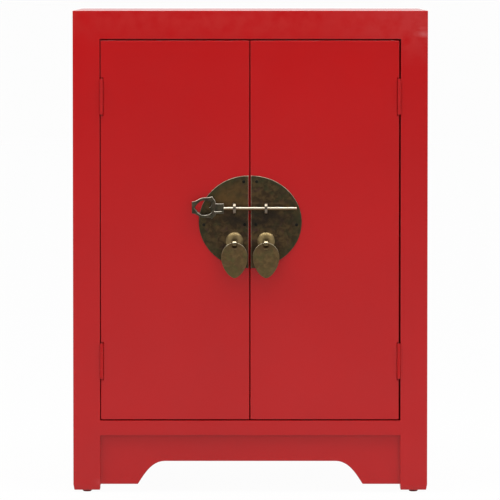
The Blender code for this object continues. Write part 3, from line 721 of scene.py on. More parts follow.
class Piece:
    """A mesh in the making, and the hand tools that it is made with."""

    # By how much a sheet's faces face up or down: walls less than the first, slanted faces less than the second,
    # and flat faces more than the third.
    WALL, SLANTED, FLAT = 0.1, 0.99, 0.9

    def __init__(self, name: str) -> None:
        """Takes up the object that was just made, under this name."""
        self.thing: Object = bpy.context.object
        self.settle(name)

    def pick(self) -> None:
        """Takes up the piece alone."""
        let_go()
        self.thing.select_set(True)
        bpy.context.view_layer.objects.active = self.thing

    @contextmanager
    def editing(self) -> Iterator[None]:
        """Holds the piece in edit mode, with nothing selected at first."""
        self.pick()
        bpy.ops.object.mode_set(mode="EDIT")
        bpy.ops.mesh.select_mode(type="EDGE")
        bpy.ops.mesh.select_all(action="DESELECT")
        yield
        bpy.ops.object.mode_set(mode="OBJECT")

    def choose(self, kind: Kind, test: Callable[[BMVert | BMEdge], bool]) -> None:
        """Selects parts of the piece in edit mode.

        Args:
            kind: What is selected.
            test: Says whether a part is.
        """
        bpy.ops.mesh.select_mode(type=kind.name)
        bpy.ops.mesh.select_all(action="DESELECT")
        for part in getattr(bmesh.from_edit_mesh(self.thing.data), kind.value):
            if test(part):
                part.select_set(True)
        bmesh.update_edit_mesh(self.thing.data)

    def apply(self, kind: str, **settings: object) -> "Piece":
        """Gives the piece a modifier and applies it.

        Args:
            kind: The modifier's type.
            settings: Its properties by name.

        Returns:
            The piece.
        """
        modifier = self.thing.modifiers.new(kind.lower(), kind)
        for key, value in settings.items():
            setattr(modifier, key, value)
        self.pick()
        bpy.ops.object.modifier_apply(modifier=modifier.name)
        return self

    def settle(self, name: str, turn: Place = UPRIGHT, spot: Place = ORIGIN) -> "Piece":
        """Names the piece, puts it in place and leaves its object at the origin.

        Args:
            name: Its name.
            turn: How it is turned about the axes.
            spot: Where it goes.

        Returns:
            The piece.
        """
        self.pick()
        self.thing.name = self.thing.data.name = name
        self.thing.rotation_euler = turn
        self.thing.location = self.thing.location + Vector(spot)
        bpy.ops.object.transform_apply(location=True, rotation=True, scale=True)
        return self

    @classmethod
    def block(cls, name: str, low: Sequence[float], high: Sequence[float]) -> "Piece":
        """A block between two corners, as a start or a cutter.

        Args:
            name: Its name.
            low: The lowest corner.
            high: The highest corner.

        Returns:
            The block.
        """
        low, high = Vector(low), Vector(high)
        let_go()
        bpy.ops.mesh.primitive_cube_add(size=1, location=(low + high) / 2, scale=high - low)
        return cls(name)

    @classmethod
    def sheet(cls, name: str, outline: Outline, thickness: float, fineness: int) -> "Piece":
        """A flat outline given a thickness.

        Args:
            name: The piece's name.
            outline: Its outline.
            thickness: How thick it is, from z 0 up.
            fineness: How many runs each curve is drawn with.

        Returns:
            The piece, lying flat at the origin.
        """
        let_go()
        bpy.ops.curve.primitive_bezier_circle_add(radius=1)
        curve = bpy.context.object.data
        curve.splines.clear()
        outline.draw(curve)
        curve.dimensions = "2D"
        curve.fill_mode = "FRONT"
        curve.resolution_u = fineness
        bpy.ops.object.convert(target="MESH")
        piece = cls(name)
        with piece.editing():
            weld()
            bpy.ops.mesh.extrude_region_move(TRANSFORM_OT_translate={"value": (0, 0, thickness)})
            face_out()
        return piece

    def bevel(self, width: float, steps: int, test: Callable[[BMEdge], bool]) -> None:
        """Rounds over some edges of the piece.

        Args:
            width: How wide the rounding is.
            steps: How many faces round an edge over.
            test: Says which edges are rounded.
        """
        with self.editing():
            self.choose(Kind.EDGE, test)
            bpy.ops.mesh.bevel(offset=width, segments=steps, profile=0.5, affect="EDGES", clamp_overlap=True)

    def round_rims(self, width: float, steps: int, test: Callable[[float], bool]) -> None:
        """Rounds over the edges between a sheet's flat faces and its walls.

        Args:
            width: How wide the rounding is.
            steps: How many faces round an edge over.
            test: Says by their height which of those edges are rounded.
        """

        def rim(edge: BMEdge) -> bool:
            """Whether an edge is one of those."""
            tilts = sorted(abs(face.normal.z) for face in edge.link_faces)
            return len(tilts) == 2 and tilts[0] < self.WALL and tilts[1] > self.FLAT and test(edge.verts[0].co.z)

        self.bevel(width, steps, rim)

    def rub(self, share: float, test: Callable[[BMFace], bool] = lambda face: True) -> None:
        """Marks the slanted faces of a sheet as rubbed bright: worn rims, which the brass finishes also brighten as
        a painted highlight.

        Args:
            share: How bright they are rubbed.
            test: Says which of those faces are marked.
        """
        with self.editing():
            shape = bmesh.from_edit_mesh(self.thing.data)
            layers = shape.faces.layers.float
            wear = layers.get("wear") or layers.new("wear")
            for face in shape.faces:
                if self.WALL < abs(face.normal.z) < self.SLANTED and test(face):
                    face[wear] = share
            bmesh.update_edit_mesh(self.thing.data)

    @classmethod
    def slab(
        cls,
        outline: Outline,
        thickness: float,
        rounding: float,
        steps: int = 3,
        both: bool = False,
        hole: Outline | None = None,
        sinks: Sequence[tuple[Outline, float]] = (),
        fineness: int = 12,
    ) -> "Piece":
        """A flat outline given a thickness, its rims rounded over and marked as rubbed bright, for wear and a
        painted highlight.

        Args:
            outline: The outer outline.
            thickness: How thick the piece is, from z 0 to the front.
            rounding: How wide the rounded rim is.
            steps: How many faces round it over.
            both: Whether the back rim is rounded too.
            hole: The outline of a hole through the piece.
            sinks: Outlines that are sunk into the front with sloping walls, and how deep.
            fineness: How many runs each curve is drawn with.

        Returns:
            The piece, lying flat at the origin.
        """
        piece = cls.sheet("slab", outline, thickness, fineness)
        piece.round_rims(rounding, steps, lambda height: both or height > thickness / 2)
        if hole:
            cutter = cls.sheet("hole", hole, 3 * thickness, fineness)
            piece.cut(cutter.settle("hole", UPRIGHT, (0, 0, -thickness)))
        for shape, depth in sinks:
            cutter = cls.sheet("sink", shape, 2 * depth, fineness)
            cutter.round_rims(depth, 1, lambda height: height < depth)
            piece.cut(cutter.settle("sink", UPRIGHT, (0, 0, thickness - depth)))
        piece.rub(1.0)
        return piece

    @classmethod
    def turned(cls, name: str, profile: Sequence[Point], steps: int = ROUND_STEPS, hollow: bool = False) -> "Piece":
        """A round piece, pulled up ring by ring from a circle.

        Args:
            name: The piece's name.
            profile: The radius and the height of each ring.
            steps: How many faces go round.
            hollow: Whether the last ring joins the first, as in a hollow piece.

        Returns:
            The piece, standing at the origin.
        """
        let_go()
        radius, height = profile[0]
        bpy.ops.mesh.primitive_circle_add(vertices=steps, radius=radius, location=(0, 0, height))
        piece = cls(name)
        with piece.editing():
            select_all()
            if not hollow:
                bpy.ops.mesh.edge_face_add()
                piece.choose(Kind.EDGE, lambda edge: True)
            for next_radius, next_height in profile[1:]:
                rise = (0, 0, next_height - height)
                bpy.ops.mesh.extrude_edges_move(TRANSFORM_OT_translate={"value": rise})
                share = next_radius / radius
                bpy.ops.transform.resize(value=(share, share, 1), center_override=(0, 0, next_height))
                radius, height = next_radius, next_height
            if hollow:
                piece.choose(Kind.EDGE, lambda edge: len(edge.link_faces) == 1)
                bpy.ops.mesh.bridge_edge_loops()
            else:
                bpy.ops.mesh.edge_face_add()
            face_out()
        return piece

    @classmethod
    def rod(
        cls, name: str, radius: float, half: float, spot: Place, turn: Place = UPRIGHT, ease: float = 0.0
    ) -> "Piece":
        """A round rod, its ends eased.

        Args:
            name: The rod's name.
            radius: Its radius.
            half: Half its length.
            spot: Its middle.
            turn: How it is turned from upright.
            ease: How much its ends are rounded.

        Returns:
            The rod in its place.
        """
        ends = [(radius, half)]
        if ease:
            ends = [(radius - ease + ease * cos, half - ease + ease * sin) for cos, sin in quarter_turn(4)]
        profile = [(across, -along) for across, along in reversed(ends)] + ends
        return cls.turned(name, profile).settle(name, turn, spot)

    def cut(self, *cutters: "Piece") -> "Piece":
        """Cuts the piece.

        Args:
            cutters: What it is cut with, and is used up.

        Returns:
            The piece.
        """
        for cutter in cutters:
            self.apply("BOOLEAN", operation="DIFFERENCE", solver="EXACT", object=cutter.thing)
            cutter.discard()
        return self

    def clean(self, least: float = 2 * TINY) -> "Piece":
        """Takes out faces without area.

        Args:
            least: Points that lie closer together than this become one.

        Returns:
            The piece.
        """
        with self.editing():
            select_all()
            bpy.ops.mesh.remove_doubles(threshold=least)
            bpy.ops.mesh.dissolve_degenerate(threshold=least)
            face_out()
        return self

    def soften(self, width: float, steps: int = 2) -> "Piece":
        """Rounds over every sharp edge of the piece, this wide and with so many faces."""
        over = {"limit_method": "ANGLE", "angle_limit": math.radians(SOFTENED_OVER)}
        return self.apply("BEVEL", width=width, segments=steps, use_clamp_overlap=False, **over)

    def polish(self, sharp: float = SHARP_OVER) -> "Piece":
        """Shades the piece smooth where it is round and flat where it is flat.

        Args:
            sharp: The edges that stay sharp are those over this angle, in degrees.

        Returns:
            The piece.
        """
        self.pick()
        bpy.ops.object.shade_smooth_by_angle(angle=math.radians(sharp))
        return self.apply("WEIGHTED_NORMAL", keep_sharp=True)

    def copy(self, name: str, turn: Place, spot: Place) -> "Piece":
        """Copies the piece with a mesh of its own.

        Args:
            name: The copy's name.
            turn: How the copy is turned.
            spot: Where it goes.

        Returns:
            The copy in its place.
        """
        self.pick()
        bpy.ops.object.duplicate(linked=False)
        return Piece(name).settle(name, turn, spot)

    @classmethod
    def refinished(cls, node: str) -> "Piece":
        """A copy of a CAD node with its facets welded and shaded round.

        Args:
            node: The node that is copied.

        Returns:
            The copy.
        """
        name = f"finished_{node}"
        thing = bpy.data.objects.new(name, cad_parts[node].data.copy())
        bpy.context.scene.collection.objects.link(thing)
        bpy.context.view_layer.objects.active = thing
        piece = cls(name)
        with piece.editing():
            weld()
            face_out()
        return piece.polish()

    def discard(self) -> None:
        """Throws away a cutter, or a pattern that was only copied from."""
        mesh = self.thing.data
        bpy.data.objects.remove(self.thing)
        bpy.data.meshes.remove(mesh)

    def fit(self, finish: Finish, body: Body, slot: Slot, *nodes: str) -> None:
        """Paints the finished piece and hands it to its body.

        Args:
            finish: Its finish.
            body: The body that it rides on.
            slot: The record's slot for the piece; not used.
            nodes: The CAD nodes that it stands for.
        """
        piece = self.thing
        piece.data.materials.clear()
        piece.data.materials.append(finish.material())
        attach(piece, body.value)
        if nodes:
            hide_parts(*nodes)
        LOG.info("%s rides on %s: %d faces", piece.name, body.value, len(piece.data.polygons))


def dress_node(node: str, finish: Finish) -> None:
    """Gives a CAD node that stays its finish.

    Args:
        node: The node's name.
        finish: Its finish.
    """
    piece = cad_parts[node]
    if not piece.material_slots:
        piece.data.materials.append(None)
    for slot in piece.material_slots:
        slot.link = "OBJECT"
        slot.material = finish.material()
    LOG.info("%s keeps its CAD shape", node)


@dataclass
class Hinge:
    """A painted butt hinge between a post and a door, with its screws."""

    side: Side
    level: Level
    axis_x: float = 0.1762
    axis_y: float = -0.16815
    half_height: float = 0.02075
    post_recess: float = 0.0023
    door_recess: float = 0.00265
    recess_half: float = 0.0229
    leaf_near: float = 0.0002
    leaf: float = 0.0016
    leaf_reach: float = 0.0135
    edge_reach: float = 0.0015
    gap: float = CLEARANCE
    screw_radius: float = 0.0021
    screw_crown: float = 0.00012
    screw_sunk: float = 0.0004
    screw_dome: tuple[Point, ...] = ((1.0, 0.0), (0.8, 0.55), (0.4, 0.9), (0.08, 1.0))
    screw_height: float = 0.0125
    screw_depth: float = 0.0088
    slot_width: float = 0.0007
    slot_depth: float = 0.0003

    @property
    def axis(self) -> Vector:
        """The middle of the pin."""
        return Vector((self.side.value * self.axis_x, self.axis_y, self.level.value))

    @property
    def name(self) -> str:
        """What the names of the hinge's pieces start with."""
        return f"{self.side.word}_{self.level.name.lower()}_hinge"

    def recess(self, radius: float) -> Piece:
        """The cutter for the round recess that the knuckles lie in."""
        return Piece.rod("recess", radius, self.recess_half, tuple(self.axis))

    def mortise(self, towards: int) -> Piece:
        """The cutter for the seat of a leaf.

        Args:
            towards: The direction from the pin to the leaf along x.

        Returns:
            The cutter.
        """
        far = self.axis.x + towards * (self.leaf_near + self.leaf + self.gap)
        xs = sorted((self.axis.x - towards * self.edge_reach, far))
        half = self.half_height + self.gap
        low = (xs[0], self.axis.y, self.axis.z - half)
        high = (xs[1], self.axis.y + self.leaf_reach + self.gap, self.axis.z + half)
        return Piece.block("mortise", low, high)

    def screw_pattern(self) -> Piece:
        """Makes one oval screw head with its slot.

        Returns:
            The screw, facing up at the origin.
        """
        radius, half = self.screw_radius, self.slot_width / 2
        dome = [(across * radius, up * self.screw_crown) for across, up in self.screw_dome]
        screw = Piece.turned("screw", [(radius, -self.screw_sunk), *dome], SMALL_ROUND_STEPS)
        slot = Piece.block("slot", (-half, -radius, -self.slot_depth), (half, radius, radius))
        return screw.cut(slot).polish()

    def build(self) -> None:
        """Makes the two leaves, the pin and the screws."""
        side, door = self.side.value, Body.door(self.side)
        for part, body in (("post_leaf", Body.CABINET), ("door_leaf", door), ("pin", Body.CABINET)):
            node = f"{self.name}_{part}"
            Piece.refinished(node).fit(HINGE_PAINT, body, Slot.HINGE_PAINT, node)
        pattern = self.screw_pattern()
        for part, body, facing in (("post", Body.CABINET, -side), ("door", door, side)):
            for index, rise in enumerate((-self.screw_height, self.screw_height)):
                spot = self.axis + Vector((-facing * self.leaf_near, self.screw_depth, rise))
                turn = (0, facing * QUARTER, 0)
                screw = pattern.copy(f"{self.name}_{part}_screw_{index + 1}", turn, tuple(spot))
                screw.fit(SCREW_BRASS, body, Slot.WORN_BRASS)
        pattern.discard()


@dataclass
class PaintedCase:
    """The case: posts, rails and top under one coat of lacquer, the arched aprons, glides and panels."""

    hinges: Sequence[Hinge]
    half_width: float = 0.210
    front: float = FRONT_FACE
    back: float = 0.18235
    foot: float = 0.003
    height: float = 0.5713
    post: float = 0.032
    opening_bottom: float = 0.0857
    opening_top: float = 0.5378
    rail_underside: float = 0.0681
    top_panel: float = 0.012
    edge_round: float = 0.0005
    edge_steps: int = 4
    inner_round: float = 0.0005
    foot_taper: float = 0.0004
    foot_outer: float = 0.0012
    taper_height: float = 0.0066
    gap: float = CLEARANCE
    apron: float = 0.012
    apron_setback: float = 0.0042
    apron_tongue: float = 0.002
    apron_height: float = 0.0585
    apron_round: float = 0.0009
    spandrel: float = 0.0445
    arch_run: float = 0.0321
    arch_rise: float = 0.0274
    arch_angle: float = math.radians(57)
    arch_start_pull: float = 0.0128
    arch_crown_pull: float = 0.0160
    glide_radius: float = 0.0057
    glide_flat: float = 0.0036
    glide_steps: int = 8

    @property
    def opening_half(self) -> float:
        """Half the width between the posts."""
        return self.half_width - self.post

    def windows(self) -> list[Piece]:
        """Opens the block into a frame.

        Returns:
            The cutters that it is opened with.
        """
        half, far = self.opening_half, 1.0
        near, rear = self.front + self.post, self.back - self.post
        low, high, rail = self.opening_bottom, self.opening_top, self.rail_underside
        return [
            Piece.block("through", (-half, -far, low), (half, far, high)),
            Piece.block("across", (-far, near, low), (far, rear, high)),
            Piece.block("room", (-half, near, -far), (half, rear, self.height - self.top_panel)),
            Piece.block("under", (-half, -far, -far), (half, far, rail)),
            Piece.block("under_across", (-far, near, -far), (far, rear, rail)),
        ]

    def round_outside(self, piece: Piece) -> None:
        """Rounds the block's upright edges and the edges round its top.

        Args:
            piece: The block.
        """

        def outer(edge: BMEdge) -> bool:
            """Whether an edge is one of those."""
            low, high = sorted(vert.co.z for vert in edge.verts)
            return high - low > self.height / 2 or low > self.height - HAIR

        piece.bevel(self.edge_round, self.edge_steps, outer)

    def taper_feet(self, piece: Piece) -> None:
        """Narrows the feet towards the glides.

        Args:
            piece: The frame.
        """

        def shift(axis: int, way: float, test: Callable[[float], bool]) -> None:
            """Moves those points at the feet's ends that pass a test along an axis."""
            piece.choose(Kind.VERT, lambda vert: vert.co.z < self.foot + HAIR and test(vert.co[axis]))
            bpy.ops.transform.translate(value=(way, 0, 0) if axis == 0 else (0, way, 0))

        ends = [(0, side.value, side.value * self.half_width) for side in Side]
        ends += [(1, -1, self.front), (1, 1, self.back)]
        with piece.editing():
            select_all()
            start = (0, 0, self.foot + self.taper_height)
            bpy.ops.mesh.bisect(plane_co=start, plane_no=(0, 0, 1))
            for axis, out, end in ends:
                inner, outer = end - out * self.post, out * end - 2 * self.edge_round
                shift(axis, out * self.foot_taper, lambda at: abs(at - inner) < HAIR)
                shift(axis, -out * self.foot_outer, lambda at: out * at > outer)

    def build_frame(self) -> None:
        """Makes the frame and the top in one painted piece."""
        low = (-self.half_width, self.front, self.foot)
        piece = Piece.block("painted_frame", low, (self.half_width, self.back, self.height))
        self.round_outside(piece)
        piece.cut(*self.windows())
        self.taper_feet(piece)
        piece.soften(self.inner_round)
        room = Vector((self.gap, self.gap, self.gap))
        for node in ("left_side_panel", "right_side_panel", "back_panel", "bottom_panel"):
            corner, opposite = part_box(node)
            piece.cut(Piece.block("groove", corner - room, opposite + room))
        for hinge in self.hinges:
            piece.cut(hinge.recess(hinge.post_recess), hinge.mortise(hinge.side.value))
        piece.clean().polish()
        posts = [f"{side.word}_{end}_post" for side in Side for end in ("front", "rear")]
        ways = ("front", "rear", "left", "right")
        rails = [f"{way}_{level}_rail" for way in ways for level in ("top", "lower")]
        piece.fit(FRAME_RED, Body.CABINET, Slot.RED_LACQUER, *posts, *rails, "top_panel")

    def apron_outline(self, half: float) -> Outline:
        """The outline of an apron, measured from the middle of its upper edge.

        Args:
            half: Half its length.

        Returns:
            The outline.
        """
        bottom = -self.apron_height
        spring = half - self.spandrel
        crown = spring - self.arch_run
        arch = bottom + self.arch_rise
        across = self.arch_start_pull * math.cos(self.arch_angle)
        up = self.arch_start_pull * math.sin(self.arch_angle)
        tongue = self.apron_tongue
        right = Outline().line((half + tongue, tongue), (half + tongue, bottom), (spring, bottom))
        right.curve((spring - across, bottom + up), (crown + self.arch_crown_pull, arch), (crown, arch))
        return right.joined(right.mirrored(Mirror.LEFT_TO_RIGHT))

    def build_aprons(self) -> None:
        """Makes the front apron and the side aprons, set back from the frame."""
        side_half = (self.back - self.front) / 2 - self.post
        middle = (self.front + self.back) / 2
        setback = self.apron_setback + self.apron
        for way, half, turn, spot in (
            ("front", self.opening_half, 0, (0, self.front + setback)),
            ("left", side_half, -QUARTER, (-self.half_width + setback, middle)),
            ("right", side_half, QUARTER, (self.half_width - setback, middle)),
        ):
            outline = self.apron_outline(half)
            piece = Piece.slab(outline, self.apron, self.apron_round, both=True)
            piece.settle(f"painted_{way}_apron", (QUARTER, 0, turn), (*spot, self.rail_underside))
            piece.polish().fit(RED, Body.CABINET, Slot.RED_LACQUER, f"{way}_apron")

    def build_glides(self) -> None:
        """Makes the four domed glides."""
        flat, dome = self.glide_flat, self.glide_radius - self.glide_flat
        rise = self.foot - self.gap
        profile = [(flat + dome * sin, rise * (1 - cos)) for cos, sin in quarter_turn(self.glide_steps)]
        pattern = Piece.turned("glide", profile).polish()
        reach = self.half_width - self.post / 2
        for side in Side:
            for end, y in (("front", self.front + self.post / 2), ("rear", self.back - self.post / 2)):
                node = f"{side.word}_{end}_glide"
                piece = pattern.copy(f"domed_{node}", UPRIGHT, (side.value * reach, y, 0))
                piece.fit(GLIDE_PAINT, Body.CABINET, Slot.GLIDE_PAINT, node)
        pattern.discard()

    def dress(self) -> None:
        """Finishes the panels and the inside, which keep their CAD shapes."""
        for node in ("left_side_panel", "right_side_panel"):
            dress_node(node, RED)
        inside = ("back_panel", "bottom_panel", "shelf", "left_shelf_cleat", "right_shelf_cleat", "door_stop")
        for node in inside:
            dress_node(node, INSIDE)

    def build(self) -> None:
        """Makes and finishes the whole case."""
        self.build_frame()
        self.build_aprons()
        self.build_glides()
        self.dress()


@dataclass
class Door:
    """A plain painted door with the recesses and holes for its hardware."""

    side: Side
    hinges: Sequence[Hinge]
    inner_x: float = 0.0006
    outer_x: float = 0.1766
    hang: float = -0.00045
    front: float = FRONT_FACE
    back: float = -0.15165
    bottom: float = 0.0870
    top: float = 0.5361
    edge_round: float = 0.0008
    edge_steps: int = 3
    holes: tuple[Point, ...] = ((LOCK_HEIGHT + 0.0163, 0.0022), (LOCK_HEIGHT - 0.0231, 0.0024))

    def build(self) -> None:
        """Makes the door."""
        side, node = self.side.value, f"{self.side.word}_door"
        xs = sorted(side * x + self.hang for x in (self.inner_x, self.outer_x))
        piece = Piece.block(f"painted_{node}", (xs[0], self.front, self.bottom), (xs[1], self.back, self.top))
        piece.soften(self.edge_round, self.edge_steps)
        middle = (self.front + self.back) / 2
        for height, radius in self.holes:
            spot = (side * HARDWARE_X, middle, height)
            piece.cut(Piece.rod("hole", radius, self.back - self.front, spot, FACING_FRONT))
        for hinge in self.hinges:
            piece.cut(hinge.recess(hinge.door_recess), hinge.mortise(-side))
        piece.polish().fit(RED, Body.door(self.side), Slot.RED_LACQUER, node)


@dataclass
class LockPlate:
    """Half of the round lock plate, nailed to a door."""

    side: Side
    centre_z: float = LOCK_HEIGHT
    seam_half: float = 0.0013
    seam_x: float = -0.0007
    outer_x: float = 0.0609
    half_height: float = 0.0548
    thickness: float = 0.001
    back: float = -0.16795
    rim: float = 0.0007
    # Painted highlight: how strongly the rims at the seam are marked, far past plain wear, so that they shine like
    # lit edges.
    seam_wear: float = 13.0
    fineness: int = 32
    nail_radius: float = 0.0019
    nail_crown: float = 0.0006
    nail_steps: int = 6
    nails: tuple[Point, ...] = ((0.0077, 0.0477), (0.0066, -0.0031), (0.0077, -0.0477), (0.0548, -0.0035))

    def nail_pattern(self) -> Piece:
        """Makes one domed nail head.

        Returns:
            The nail, facing up at the origin.
        """
        radius, crown = self.nail_radius, self.nail_crown
        dome = [(radius * cos, crown * sin) for cos, sin in quarter_turn(self.nail_steps)[:-1]]
        return Piece.turned("nail", [(radius, -self.thickness / 2), *dome], SMALL_ROUND_STEPS).polish()

    def build(self) -> None:
        """Makes the half plate and its nails."""
        side, body = self.side.value, Body.door(self.side)
        inner = self.seam_half + side * self.seam_x
        outline = Outline().arc((inner, 0), (self.outer_x - inner, self.half_height), -QUARTER, QUARTER)
        if self.side is Side.LEFT:
            outline = outline.mirrored(Mirror.LEFT_TO_RIGHT)
        node = f"{self.side.word}_lock_plate"
        piece = Piece.slab(outline, self.thickness, self.rim, fineness=self.fineness)
        seam = inner + self.rim
        # Painted highlight on the rims along the seam.
        piece.rub(self.seam_wear, lambda face: abs(face.calc_center_median().x) < seam)
        piece.settle(f"aged_{node}", FACING_FRONT, (0, self.back, self.centre_z))
        piece.polish(PLATE_SHARP_OVER).fit(AGED, body, Slot.AGED_BRASS, node)
        pattern = self.nail_pattern()
        for index, (x, z) in enumerate(self.nails):
            spot = (side * x, self.back - self.thickness, self.centre_z + z)
            nail = pattern.copy(f"{node}_nail_{index + 1}", FACING_FRONT, spot)
            nail.fit(NAIL_BRASS, body, Slot.AGED_BRASS)
        pattern.discard()


@dataclass
class SplitPin:
    """A split pin: an eye in front of the plate, and two legs through the door, bent over behind it."""

    node: str
    body: Body
    spot: Place
    outer: float = 0.0055
    tall: float = 0.0070
    bore: float = 0.0031
    width: float = 0.0034
    leg: float = 0.0012
    stem_middle: float = 0.0005
    standoff: float = 0.0071
    shoulder: float = 0.0016
    door: float = 0.016
    gap: float = CLEARANCE
    arm: float = 0.008
    rounding: float = 0.0005
    finish: Brass = STAPLE_BRASS

    def build(self) -> None:
        """Makes the pin."""
        low, high = self.stem_middle - self.leg, self.stem_middle + self.leg
        inner = self.standoff + self.door + self.gap
        tail = inner + self.leg
        if self.shoulder:
            loop = Outline().line((self.shoulder, low))
            loop.arc((self.shoulder, 0), (self.outer + self.shoulder, self.tall), -QUARTER, -3 * QUARTER)
            loop.line((self.shoulder, high))
        else:
            start = math.asin(low / self.tall)
            end = math.asin(min(1.0, high / self.tall)) - 2 * math.pi
            loop = Outline().arc((0, 0), (self.outer, self.tall), start, end)
        loop.line((inner, high), (inner, high + self.arm), (tail, high + self.arm))
        loop.line((tail, low - self.arm), (inner, low - self.arm), (inner, low))
        eye = circle((0, 0), self.bore)
        piece = Piece.slab(loop, self.width, self.rounding, both=True, hole=eye)
        x, y, z = self.spot
        piece.settle(f"worn_{self.node}", (QUARTER, 0, QUARTER), (x - self.width / 2, y, z))
        piece.polish().fit(self.finish, self.body, Slot.WORN_BRASS, self.node)


@dataclass
class Pull:
    """A pull: a domed boss on the plate, a strap through it and a leaf that hangs in the strap."""

    side: Side
    boss_z: float = LOCK_HEIGHT - 0.0227
    boss_back: float = -0.16925
    boss_radius: float = 0.0104
    boss_height: float = 0.0042
    boss_wall: float = 0.001
    boss_hole: float = 0.0008
    boss_slot: Place = (0.0024, 0.0016, 0.0009)
    boss_steps: int = 64
    pivot_y: float = -0.17895
    pivot_z: float = LOCK_HEIGHT - 0.0254
    strap_outer: float = 0.00338
    strap_bore: float = 0.0023
    strap_width: float = 0.0046
    strap_leg: float = 0.0011
    strap_stem: float = 0.0023
    strap_standoff: float = 0.0113
    strap_round: float = 0.0009
    leaf: float = 0.0012
    leaf_half: float = 0.01575
    leaf_bridge: float = 0.0034
    leaf_shoulder: float = 0.0174
    leaf_tail: float = 0.0248
    leaf_side_pull: float = 0.0105
    leaf_tip_pull: Point = (0.0075, 0.0010)
    leaf_hole_half: float = 0.003
    leaf_hole_side: float = 0.0026
    leaf_rim: float = 0.0007
    leaf_fineness: int = 20
    gap: float = CLEARANCE

    @property
    def x(self) -> float:
        """Where the pull hangs along the front."""
        return self.side.value * HARDWARE_X

    def build_boss(self) -> None:
        """Makes the hollow dome."""
        ball = (self.boss_radius**2 + self.boss_height**2) / (2 * self.boss_height)
        sunk = ball - self.boss_height

        def shell(radius: float, steps: int = 12) -> list[Point]:
            """The dome's profile on one face.

            Args:
                radius: The radius of the face.
                steps: How many runs it is drawn with.

            Returns:
                The profile, from the dome's foot to its hole.
            """
            foot, hole = math.asin(sunk / radius), math.acos(self.boss_hole / radius)
            angles = [foot + (hole - foot) * step / steps for step in range(steps + 1)]
            return [(radius * math.cos(angle), radius * math.sin(angle) - sunk) for angle in angles]

        profile = shell(ball) + shell(ball - self.boss_wall)[::-1]
        node = f"{self.side.word}_pull_boss"
        piece = Piece.turned("boss", profile, self.boss_steps, hollow=True)
        across, down, up = self.boss_slot
        deep = 2 * self.boss_height
        piece.cut(Piece.block("slot", (-across, -down, -deep), (across, up, deep)))
        piece.settle(f"domed_{node}", FACING_FRONT, (self.x, self.boss_back, self.boss_z))
        piece.polish().fit(BOSS_BRASS, Body.door(self.side), Slot.WORN_BRASS, node)

    def build_strap(self) -> None:
        """Makes the strap that the leaf hangs in."""
        SplitPin(
            f"{self.side.word}_pull_strap",
            Body.door(self.side),
            (self.x, self.pivot_y, self.pivot_z),
            outer=self.strap_outer,
            tall=self.strap_outer,
            bore=self.strap_bore,
            width=self.strap_width,
            leg=self.strap_leg,
            stem_middle=self.strap_stem,
            standoff=self.strap_standoff,
            shoulder=0.0,
            rounding=self.strap_round,
            finish=STRAP_BRASS,
        ).build()

    def build_leaf(self) -> None:
        """Makes the leaf."""
        half = self.leaf_half
        hole_top = -(self.strap_bore - self.gap)
        top = hole_top + self.leaf_bridge
        widest = top - self.leaf_shoulder
        tip = widest - self.leaf_tail
        right = Outline().arc((0, widest), (half, self.leaf_shoulder), QUARTER, 0)
        across, rise = self.leaf_tip_pull
        right.curve((half, widest - self.leaf_side_pull), (across, tip + rise), (0, tip))
        leaf = right.joined(right.mirrored(Mirror.LEFT_TO_RIGHT))
        eye = self.leaf_hole_half
        hole = Outline().line((-eye, hole_top), (eye, hole_top))
        hole.arc((0, hole_top - self.leaf_hole_side), (eye, eye), 0, -math.pi)
        node = f"{self.side.word}_leaf_pull"
        piece = Piece.slab(leaf, self.leaf, self.leaf_rim, hole=hole, fineness=self.leaf_fineness)
        spot = (self.x, self.pivot_y + self.leaf / 2, self.pivot_z)
        piece.settle(f"aged_{node}", FACING_FRONT, spot)
        piece.polish(PLATE_SHARP_OVER).fit(LEAF_BRASS, Body.pull(self.side), Slot.AGED_BRASS, node)

    def build(self) -> None:
        """Makes the boss, the strap and the leaf."""
        self.build_boss()
        self.build_strap()
        self.build_leaf()


